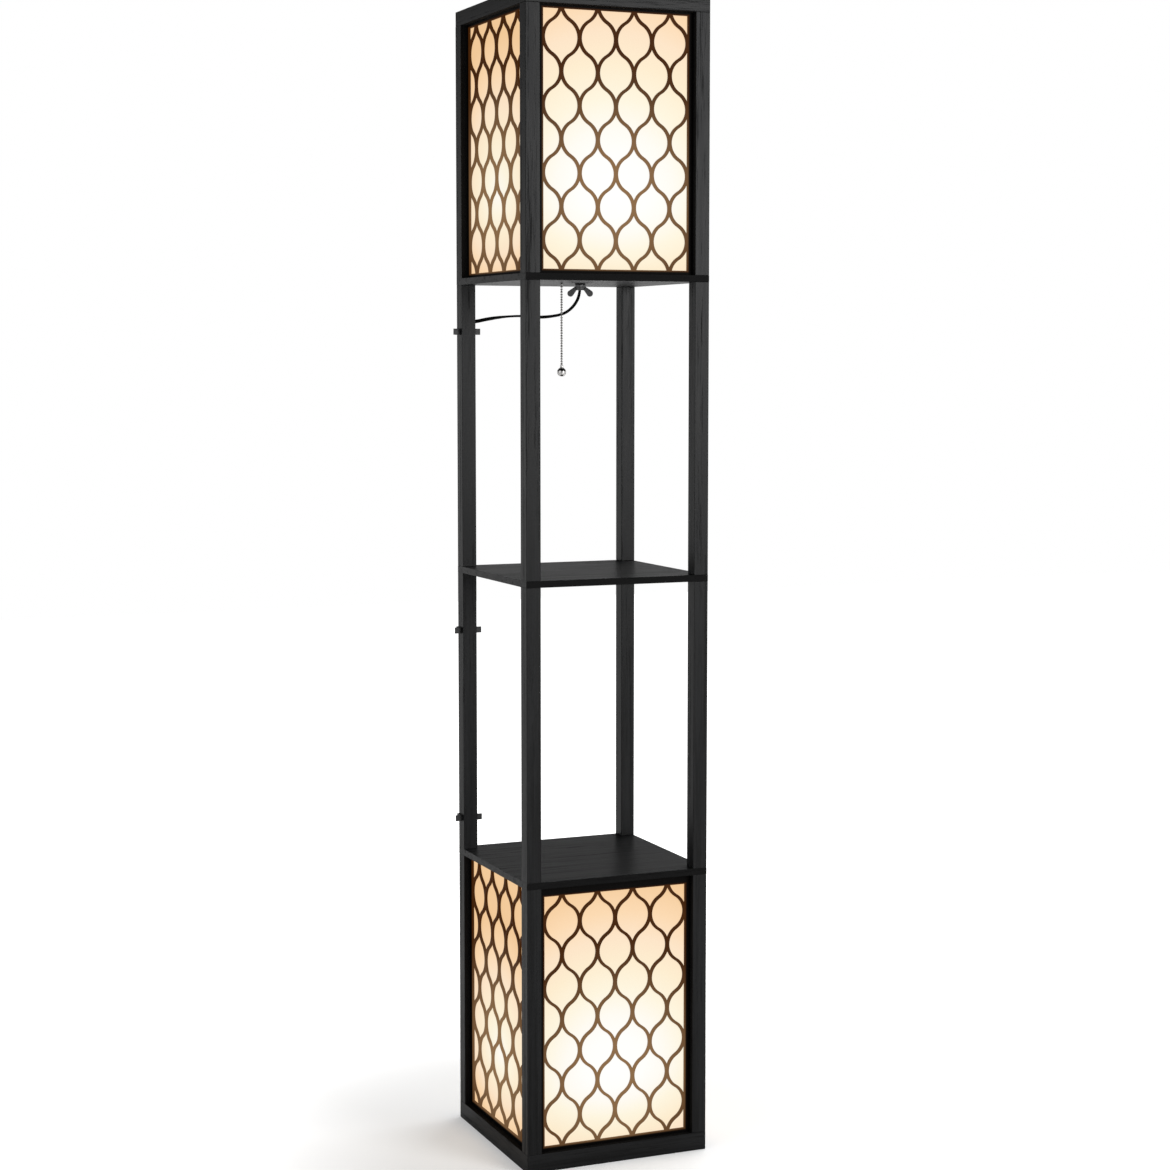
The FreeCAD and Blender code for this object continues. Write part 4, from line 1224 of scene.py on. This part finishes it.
@dataclass
class SupplyCord(Assembly):
    """The flat twin mains cord with its coil, clips and plug, and the rubber ring in the base."""

    length: float = 2.372
    width: float = 0.0052
    thickness: float = 0.0030
    coil_radius: float = 0.0345
    coil_pitch: float = 0.0056
    half_turns_in: int = 4
    half_turns_out: int = 5
    points_per_half_turn: int = 8
    lead: float = 0.0050
    spline_resolution: int = 6
    groove_deg: float = 52.0
    smooth_below_deg: float = 60.0
    core_steps: int = 9
    soft_edge: float = 0.0004
    relief_length: float = 0.026
    relief_small: float = 0.0034
    relief_large: float = 0.0056
    relief_drop: float = 0.0009
    relief_ribs: int = 7
    rib_edge: float = 0.0002
    grip_length: float = 0.026
    grip_edge: float = 0.0034
    grip_drawn_wide: float = 0.72
    grip_drawn_tall: float = 0.88
    ridges: int = 5
    ridge_first: float = 0.32
    ridge_pitch: float = 0.10
    ridge_size: Pair = (0.0011, 0.0012)
    ridge_sink: float = 0.0006
    ridge_slope: float = 0.0003
    blade_spacing: float = 0.0127
    blade_width: float = 0.0063
    blade_thickness: float = 0.0015
    blade_root: float = 0.002
    blade_edge: float = 0.0003
    hole_from_end: float = 0.0036
    hole_radius: float = 0.0015

    def build(self) -> None:
        """Makes the cord and what is on it."""
        plug = self.plug()
        self.cord(plug)
        small = (("cord_clips", "clip", "clip_plastic"), ("cable_grommet", "rubber", "rubber"))
        for node, finish, slot in small:
            piece = Bench.ease(Bench.cast(node, node + "_moulded"), self.soft_edge, 3)
            self.fit(piece, [node], finish, slot)

    def coil_points(self) -> list[Point]:
        """The coil's control points: half turns that wind in, one that climbs, and half turns out.

        Returns:
            The points, from the end of the route to the plug.
        """
        count = self.points_per_half_turn
        stand_out = 1.0 / math.cos(math.pi / (2 * count))
        x = CORD_ROUTE[-1][0] + self.lead
        y, z = CORD_ROUTE[-1][1], CORD_ROUTE[-1][2]
        step_in = self.coil_pitch / 2.0
        radii = [self.coil_radius - i * step_in for i in range(self.half_turns_in + 1)]
        radii += [radii[-1] + i * step_in for i in range(1, self.half_turns_out + 1)]
        points = []
        heading = 1.0
        for index, radius in enumerate(radii):
            climbs = index == self.half_turns_in
            centre_y = y + heading * radius
            for step in range(count):
                share = (step + 0.5) / count
                angle = math.pi * share
                rise = self.coil_pitch * share * share * (3.0 - 2.0 * share) if climbs else 0.0
                across = heading * radius * stand_out * math.sin(angle)
                along = -heading * radius * stand_out * math.cos(angle)
                points.append((x + across, centre_y + along, z + rise))
            y += heading * 2.0 * radius
            z += self.coil_pitch if climbs else 0.0
            heading = -heading
        points.append((x, y, z))
        points.append((x + heading * self.lead, y, z))
        return points

    def centreline(self) -> np.ndarray:
        """The cord's middle line, read from one smooth spline.

        Returns:
            Its points, one row each.
        """
        curve = bpy.data.curves.new("cord_line", "CURVE")
        curve.dimensions = "3D"
        curve.resolution_u = self.spline_resolution
        spline = curve.splines.new("NURBS")
        points = list(CORD_ROUTE) + self.coil_points()
        spline.points.add(len(points) - 1)
        for place, point in zip(spline.points, points):
            place.co = (*point, 1.0)
        spline.order_u = 3
        spline.use_endpoint_u = True
        line = bpy.data.objects.new("cord_line", curve)
        bpy.context.scene.collection.objects.link(line)
        bpy.context.view_layer.update()
        mesh = bpy.data.meshes.new_from_object(line)
        rows = np.array([vertex.co for vertex in mesh.vertices], float)
        bpy.data.objects.remove(line)
        bpy.data.meshes.remove(mesh)
        keep = np.ones(len(rows), bool)
        keep[1:] = np.linalg.norm(np.diff(rows, axis=0), axis=1) > 1e-6
        return rows[keep]

    def broad_sides(self, along: np.ndarray, tangents: np.ndarray) -> np.ndarray:
        """Which way the flat cord's broad side faces at each point.

        Args:
            along: The distance from the start at each point.
            tangents: The direction of the line at each point.

        Returns:
            Unit vectors across the cord's width.
        """
        keys = (
            (0.000, (0.10, 0.99, 0.00)),
            (0.024, (-0.08, 0.90, 0.43)),
            (0.040, (0.22, 0.74, 0.63)),
            (0.051, (0.42, 0.67, 0.58)),
            (0.061, (0.62, 0.59, 0.50)),
            (0.076, (0.66, 0.55, 0.50)),
            (0.086, (0.58, 0.47, 0.66)),
            (0.104, (0.66, 0.49, 0.57)),
            (0.124, (0.79, 0.60, 0.13)),
            (0.142, (0.79, 0.60, 0.07)),
            (0.155, (0.72, 0.58, 0.36)),
            (0.166, (0.52, 0.50, 0.70)),
            (0.180, (0.10, 0.22, 0.97)),
            (0.205, (0.00, 0.10, 0.98)),
            (0.232, (0.60, 0.20, 0.75)),
            (0.262, (1.0, 0.25, 0.25)),
            (0.290, (1.0, 0.0, 0.0)),
            (1.290, (1.0, 0.0, 0.0)),
            (1.345, (-0.45, 0.89, 0.0)),
            (1.385, (-0.10, 0.90, 0.42)),
            (1.430, (0.0, 0.0, 1.0)),
            (3.000, (0.0, 0.0, 1.0)),
        )
        stations = [distance for distance, _ in keys]
        ways = np.array([way for _, way in keys], float)
        broad = np.stack([np.interp(along, stations, ways[:, axis]) for axis in range(3)], axis=1)
        broad -= (broad * tangents).sum(1)[:, None] * tangents
        return broad / np.linalg.norm(broad, axis=1)[:, None]

    def section(self) -> list[Pair]:
        """The flat twin cord's section: two round cores side by side with a groove between them.

        Returns:
            Its points as (across, through).
        """
        core = self.thickness / 2.0
        offset = self.width / 2.0 - core
        groove = math.radians(self.groove_deg)
        points = []
        for side in (1.0, -1.0):
            for step in range(self.core_steps):
                angle = (-math.pi + groove) + (math.tau - 2.0 * groove) * step / (self.core_steps - 1)
                points.append((side * (offset + core * math.cos(angle)), side * core * math.sin(angle)))
        return points

    def cord(self, plug: Object) -> None:
        """Makes the cord as one swept mesh.

        Args:
            plug: The plug on its end; not used.
        """
        line = self.centreline()
        gaps = np.linalg.norm(np.diff(line, axis=0), axis=1)
        along = np.concatenate([[0.0], np.cumsum(gaps)])
        tangents = np.gradient(line, along, axis=0)
        tangents /= np.linalg.norm(tangents, axis=1)[:, None]
        broad = self.broad_sides(along, tangents)
        through = np.cross(tangents, broad)
        section = self.section()
        rings = [line + broad * across + through * deep for across, deep in section]
        vertices = np.stack(rings, axis=1).reshape(-1, 3)
        count, per_ring = len(line), len(section)
        faces = []
        for ring in range(count - 1):
            start = ring * per_ring
            beyond = start + per_ring
            for place in range(per_ring):
                after = (place + 1) % per_ring
                faces.append((start + place, start + after, beyond + after, beyond + place))
        faces.append(tuple(reversed(range(per_ring))))
        faces.append(tuple((count - 1) * per_ring + place for place in range(per_ring)))
        mesh = bpy.data.meshes.new("cord_flat_twin")
        mesh.from_pydata(vertices.tolist(), [], faces)
        piece = bpy.data.objects.new("cord_flat_twin", mesh)
        bpy.context.scene.collection.objects.link(piece)
        Bench.take(piece)
        bpy.ops.object.mode_set(mode="EDIT")
        bpy.ops.mesh.select_all(action="SELECT")
        bpy.ops.mesh.normals_make_consistent(inside=False)
        bpy.ops.object.mode_set(mode="OBJECT")
        bpy.ops.object.shade_smooth_by_angle(angle=math.radians(self.smooth_below_deg))
        self.fit(piece, ["cord", "cord_coil"], "cord", "cord_black")
        log.info("the cord's line is %.3f m long", along[-1])

    def plug(self) -> Object:
        """Makes the moulded plug: a ribbed strain relief, a grip with ridges and two blades.

        Returns:
            The plug.
        """
        low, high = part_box("plug")
        middle_y = (low.y + high.y) / 2.0
        axis_z = (low.z + high.z) / 2.0
        grip_x = low.x + self.relief_length
        blades = self.blades(grip_x + self.grip_length, high.x, middle_y, axis_z)
        pieces = [self.grip(grip_x, middle_y, low, high), self.relief(low.x, middle_y, axis_z)]
        body = Bench.join("plug_moulded", pieces)
        body.data.materials.clear()
        plug = self.fit(body, ["plug"], "plug", "plug_plastic")
        blades.data.materials.append(self.finishes["plate"])
        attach(blades, "root")
        self.made.append(blades.name)
        return plug

    def relief(self, start_x: float, y: float, z: float) -> Object:
        """Makes the strain relief: a cone of rings with gaps between them.

        Args:
            start_x: Where it starts, at the cord.
            y: Its axis's Y.
            z: Its axis's Z.

        Returns:
            The strain relief.
        """
        small, large, edge = self.relief_small, self.relief_large, self.rib_edge
        length = self.relief_length
        pitch = length / (self.relief_ribs + 0.6)
        outline = [(0.0, 0.0), (small - 1.5 * edge, 0.0), (small, 2.0 * edge)]
        for rib in range(self.relief_ribs):
            start, end = pitch * (rib + 0.35), pitch * (rib + 0.85)
            here = small + (large - small) * start / length
            there = small + (large - small) * end / length
            outline += [(here - self.relief_drop, start - edge), (here, start + edge)]
            outline += [(there, end - edge), (there - self.relief_drop, end + edge)]
        outline += [(large, length), (0.0, length)]
        piece = Bench.lathe("plug_relief", outline, Vector((0.0, 0.0, 0.0)), steps=32)
        lying = Matrix.Rotation(math.radians(90.0), 4, "Y")
        piece.matrix_world = Matrix.Translation((start_x, y, z)) @ lying
        return Bench.settle(piece)

    def grip(self, start_x: float, y: float, low: Vector, high: Vector) -> Object:
        """Makes the plug's body: a block drawn in towards the cord, with finger ridges on its top.

        Args:
            start_x: Where it starts, at the strain relief.
            y: Its axis's Y.
            low: The plug node's lowest corner.
            high: The plug node's highest corner.

        Returns:
            The body.
        """
        length = self.grip_length
        size = (length, high.y - low.y, high.z - low.z)
        centre = (start_x + length / 2.0, y, (low.z + high.z) / 2.0)
        Bench.clear()
        bpy.ops.mesh.primitive_cube_add(size=1.0, location=centre, scale=size)
        body = Bench.settle(bpy.context.view_layer.objects.active)
        Bench.pick(body, lambda point: point.x < centre[0])
        drawn_in = (1.0, self.grip_drawn_wide, self.grip_drawn_tall)
        bpy.ops.transform.resize(value=drawn_in, center_override=(start_x, y, low.z))
        bpy.ops.object.mode_set(mode="OBJECT")
        Bench.ease(body, self.grip_edge, 5)
        made = [body]
        ridge_size = (self.ridge_size[0], size[1] / 2.0, self.ridge_size[1])
        for ridge in range(self.ridges):
            along = start_x + length * (self.ridge_first + self.ridge_pitch * ridge)
            drop = self.ridge_sink + self.ridge_slope * (self.ridges - 1 - ridge)
            Bench.clear()
            place = (along, y, high.z - drop)
            bpy.ops.mesh.primitive_cube_add(size=1.0, location=place, scale=ridge_size)
            made.append(Bench.ease(Bench.settle(bpy.context.view_layer.objects.active), self.soft_edge))
        return Bench.join("plug_grip", made)

    def blades(self, start_x: float, end_x: float, y: float, z: float) -> Object:
        """Makes the two blades, each with a hole near its chamfered end.

        Args:
            start_x: Where they leave the body.
            end_x: Where they end.
            y: The Y midway between them.
            z: The height of their middle.

        Returns:
            The pair of blades.
        """
        root_x = start_x - self.blade_root
        size = (end_x - root_x, self.blade_thickness, self.blade_width)
        across = (math.radians(90.0), 0.0, 0.0)
        made = []
        for side in (-0.5, 0.5):
            blade_y = y + side * self.blade_spacing
            Bench.clear()
            middle = ((root_x + end_x) / 2.0, blade_y, z)
            bpy.ops.mesh.primitive_cube_add(size=1.0, location=middle, scale=size)
            blade = Bench.settle(bpy.context.view_layer.objects.active)
            Bench.clear()
            bpy.ops.mesh.primitive_cylinder_add(
                vertices=24,
                radius=self.hole_radius,
                depth=2.0 * self.blade_thickness,
                location=(end_x - self.hole_from_end, blade_y, z),
                rotation=across,
            )
            hole = Bench.settle(bpy.context.view_layer.objects.active)
            made.append(Bench.ease(Bench.cut(blade, hole), self.blade_edge))
        return Bench.join("plug_blades", made)


# ---------------------------------------------------------------- studio


@dataclass(frozen=True)
class Softbox:
    """One soft rectangular lamp, in metres and watts."""

    name: str
    at: Point
    towards: Point
    size: Pair
    power: float

    def hang(self) -> None:
        """Hangs the lamp and points it at its target."""
        data = bpy.data.lights.new(self.name, "AREA")
        data.shape = "RECTANGLE"
        data.size, data.size_y = self.size
        data.energy = self.power
        lamp = bpy.data.objects.new(self.name, data)
        lamp.location = self.at
        lamp.rotation_mode = "QUATERNION"
        lamp.rotation_quaternion = (Vector(self.towards) - Vector(self.at)).to_track_quat("-Z", "Y")
        bpy.context.scene.collection.objects.link(lamp)


@dataclass(frozen=True)
class Studio:
    """The camera at the photograph's place, a pale floor and soft lamps."""

    camera_at: Point = (-1.27492, -3.03445, 1.09380)
    camera_turn_deg: float = 22.9046
    camera_dip_deg: float = 4.8609
    lens_mm: float = 73.2286
    sensor_mm: float = 36.0
    frame_px: float = 1170.0
    axis_row_px: float = 560.0
    ambient: float = 0.38
    floor_glow: float = 0.25
    floor_mirror: float = 0.25
    mirror_top: float = 0.10
    mirror_lean: float = 0.10
    mirror_rise: Pair = (0.03, 0.18)
    shade_reach: Pair = (0.26, 0.85)
    floor_size: float = 14.0
    floor_drop: float = 0.0002
    softboxes: tuple[Softbox, ...] = (
        Softbox("front_right", (1.50, -3.0, 1.62), (0.0, 0.0, 1.25), (1.4, 1.7), 66.0),
        Softbox("left", (-2.8, -1.2, 1.9), (0.0, 0.0, 0.9), (1.8, 1.8), 18.0),
        Softbox("overhead", (1.3, 0.7, 3.2), (0.0, 0.0, 0.3), (1.8, 1.8), 50.0),
    )

    def build(self) -> None:
        """Makes the camera, floor, world and lamps."""
        self.camera()
        self.floor()
        self.world()
        for softbox in self.softboxes:
            softbox.hang()
        bpy.context.scene.view_settings.view_transform = "Standard"

    def camera(self) -> None:
        """Makes the camera."""
        data = bpy.data.cameras.new("camera")
        data.sensor_width = self.sensor_mm
        data.lens = self.lens_mm
        data.shift_y = (self.axis_row_px - self.frame_px / 2.0) / self.frame_px
        camera = bpy.data.objects.new("camera", data)
        turn, dip = math.radians(self.camera_turn_deg), math.radians(self.camera_dip_deg)
        gaze = Vector((math.sin(turn) * math.cos(dip), math.cos(turn) * math.cos(dip), -math.sin(dip)))
        camera.rotation_mode = "QUATERNION"
        camera.rotation_quaternion = gaze.to_track_quat("-Z", "Y")
        camera.location = self.camera_at
        bpy.context.scene.collection.objects.link(camera)
        bpy.context.scene.camera = camera

    def floor(self) -> None:
        """Makes the pale floor, which is white to the camera where no shadow falls."""
        Bench.clear()
        bpy.ops.mesh.primitive_plane_add(size=self.floor_size, location=(0.0, 0.0, -self.floor_drop))
        floor = Bench.settle(bpy.context.view_layer.objects.active)
        floor.name = "studio_floor"
        recipe = Recipe("studio_floor")
        seen = recipe.add("ShaderNodeLightPath", {}, {}, "Is Camera Ray")
        mirrored = recipe.add("ShaderNodeLightPath", {}, {}, "Is Glossy Ray")
        across, deep, _ = recipe.parts(recipe.coordinates())
        away = recipe.step((across * across + deep * deep) ** 0.5, *self.shade_reach)
        white = away * (1.0 - self.floor_glow) + self.floor_glow
        glow = seen * white + mirrored * away * self.floor_mirror
        recipe.set(base_color=(0.80, 0.80, 0.80, 1.0), roughness=0.9, specular_ior_level=0.0)
        recipe.set(emission_color=(1.0, 1.0, 1.0, 1.0), emission_strength=glow)
        floor.data.materials.append(recipe.material)

    def world(self) -> None:
        """Makes the backdrop: white to the camera, and to mirrors white low down and dim higher up."""
        world = bpy.data.worlds.new("studio_world")
        world.use_nodes = True
        recipe = Recipe.for_world(world)
        background = next(n for n in recipe.nodes if n.type == "BACKGROUND")
        seen = recipe.add("ShaderNodeLightPath", {}, {}, "Is Camera Ray")
        through = recipe.add("ShaderNodeLightPath", {}, {}, "Is Transmission Ray")
        mirrored = recipe.add("ShaderNodeLightPath", {}, {}, "Is Glossy Ray")
        direction = recipe.add("ShaderNodeTexCoord", {}, {}, "Generated")
        aside, _, rise = recipe.parts(direction)
        low = 1.0 - recipe.step(rise - aside * self.mirror_lean, *self.mirror_rise)
        in_mirror = mirrored * (self.mirror_top + low * (1.0 - self.mirror_top))
        plain = seen.most(through).most(in_mirror)
        other = 1.0 - seen.most(through).most(mirrored)
        recipe.feed(background.inputs["Strength"], plain + other * self.ambient)
        background.inputs["Color"].default_value = (1.0, 1.0, 1.0, 1.0)
        bpy.context.scene.world = world


# ---------------------------------------------------------------- the whole lamp


BLACK: Colour = (0.0085, 0.0085, 0.0088, 1.0)
SCUFFED: Colour = (0.016, 0.016, 0.0165, 1.0)
SHEATH_BLACK: Colour = (0.0035, 0.0035, 0.0036, 1.0)
RUBBER_BLACK: Colour = (0.010, 0.010, 0.010, 1.0)
RUBBER_SCUFFED: Colour = (0.02, 0.02, 0.02, 1.0)
THREAD_PER_M = 1000.0
CUT_EDGE_SKIN = 0.0005
GROOVE_INSIDE = 0.1118

MOULDINGS: dict[str, Moulding] = {
    "holder": Moulding("holder_moulding", BLACK, SCUFFED, 0.35),
    "clip": Moulding("clip_moulding", BLACK, SCUFFED, 0.45),
    "cord": Moulding("cord_sheath", SHEATH_BLACK, BLACK, 0.62, 900.0, 0.1),
    "plug": Moulding("plug_moulding", BLACK, SCUFFED, 0.4),
    "rubber": Moulding("grommet_rubber", RUBBER_BLACK, RUBBER_SCUFFED, 0.62),
}

METALS: dict[str, BrightMetal] = {
    "zinc": BrightMetal(
        "stud_zinc", (0.60, 0.61, 0.63, 1.0), (0.45, 0.46, 0.48, 1.0), 0.28, THREAD_PER_M),
    "brass": BrightMetal("nut_brass", (0.80, 0.58, 0.25, 1.0), (0.60, 0.41, 0.17, 1.0), 0.22),
    "threaded_zinc": BrightMetal(
        "nipple_zinc", (0.66, 0.66, 0.67, 1.0), (0.48, 0.48, 0.49, 1.0), 0.25, THREAD_PER_M),
    "nickel": BrightMetal("chain_nickel", (0.28, 0.275, 0.265, 1.0), (0.18, 0.175, 0.17, 1.0), 0.2),
    "plate": BrightMetal("blade_plate", (0.74, 0.73, 0.71, 1.0), (0.55, 0.54, 0.52, 1.0), 0.14),
    "chrome": BrightMetal("ball_chrome", (0.56, 0.55, 0.54, 1.0), (0.44, 0.43, 0.42, 1.0), 0.07),
    "black_nickel": BrightMetal(
        "wing_nut_nickel", (0.075, 0.075, 0.076, 1.0), (0.12, 0.12, 0.12, 1.0), 0.2),
    "bulb_cap": BrightMetal("cap_aluminium", (0.72, 0.72, 0.73, 1.0), (0.52, 0.52, 0.53, 1.0), 0.24),
}


def timber_finishes() -> dict[str, StainedTimber]:
    """The stained timber of the posts, boards and rails.

    Returns:
        The finishes by the names that Timberwork uses.
    """
    _, shelf_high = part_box("upper_shelf")
    _, base_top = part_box("base_rail_front")
    top_foot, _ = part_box("top_rail_front")
    finishes = {
        "timber_z": StainedTimber("post_timber", Grain.ALONG_Z),
        # The lantern posts get painted shade on their faces inside the panel grooves.
        "timber_grooved_post": StainedTimber(
            "grooved_post_timber", Grain.ALONG_Z, groove_inside=GROOVE_INSIDE),
        "timber_shelf": StainedTimber(
            "shelf_timber",
            Grain.ALONG_X,
            streaks_per_m=260.0,
            streak_stretch=30.0,
            edge_half=shelf_high.y - CUT_EDGE_SKIN,
        ),
    }
    # The base and top rails get painted shade on their ledges beside the panels.
    for ring, ledge in (("base", base_top.z), ("top", top_foot.z)):
        for grain in (Grain.ALONG_X, Grain.ALONG_Y):
            name = f"timber_{ring}_{grain.value}"
            finishes[name] = StainedTimber(name, grain, ledge_height=ledge)
    return finishes


def lantern_finishes(level: Level) -> dict[str, Union[CutLattice, LitSheet, BulbGlass]]:
    """The lattices, sheets and glass of one lantern.

    Args:
        level: The lantern.

    Returns:
        The finishes by the names that Lantern uses.
    """
    name = level.value
    low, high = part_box(name + "_bulb_glass")
    globe = high.z - (high.x - low.x) / 2.0
    board_low, board_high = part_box(name + "_lattice_front")
    finishes = {
        name + "_sheet": LitSheet(name + "_lit_sheet", globe, SHEET_WARMTH[level]),
        name + "_glass": BulbGlass(name + "_frosted_glass", globe),
    }
    for side in Side:
        opening = (board_low.z + LATTICE_FOOT, board_high.z - LATTICE_HEAD[level][side])
        lattice = f"{name}_lattice_{side.value}"
        finishes[lattice] = CutLattice(lattice + "_board", globe, opening)
    return finishes


def make_finishes() -> dict[str, bpy.types.Material]:
    """Builds each finish once.

    Returns:
        The materials by the names that the assemblies use.
    """
    finishes = {**timber_finishes(), **MOULDINGS, **METALS, "beech": PlainBeech("dowel_beech")}
    for level in Level:
        finishes.update(lantern_finishes(level))
    return {name: finish.material() for name, finish in finishes.items()}


def main() -> None:
    """Builds the lamp's assemblies in order, then the studio."""
    logging.basicConfig(level=logging.INFO, format="%(name)s: %(message)s")
    finishes = make_finishes()
    Studio().build()
    assemblies: list[Assembly] = [
        SupplyCord(finishes),
        Timberwork(finishes),
        Lantern(finishes, level=Level.LOWER),
        Lantern(finishes, level=Level.UPPER),
        Fixings(finishes),
        PullChain(finishes),
    ]
    for assembly in assemblies:
        assembly.build()
        log.info("%s: %d pieces", type(assembly).__name__, len(assembly.made))
    Bench.clear()


if __name__ == "__main__":
    main()
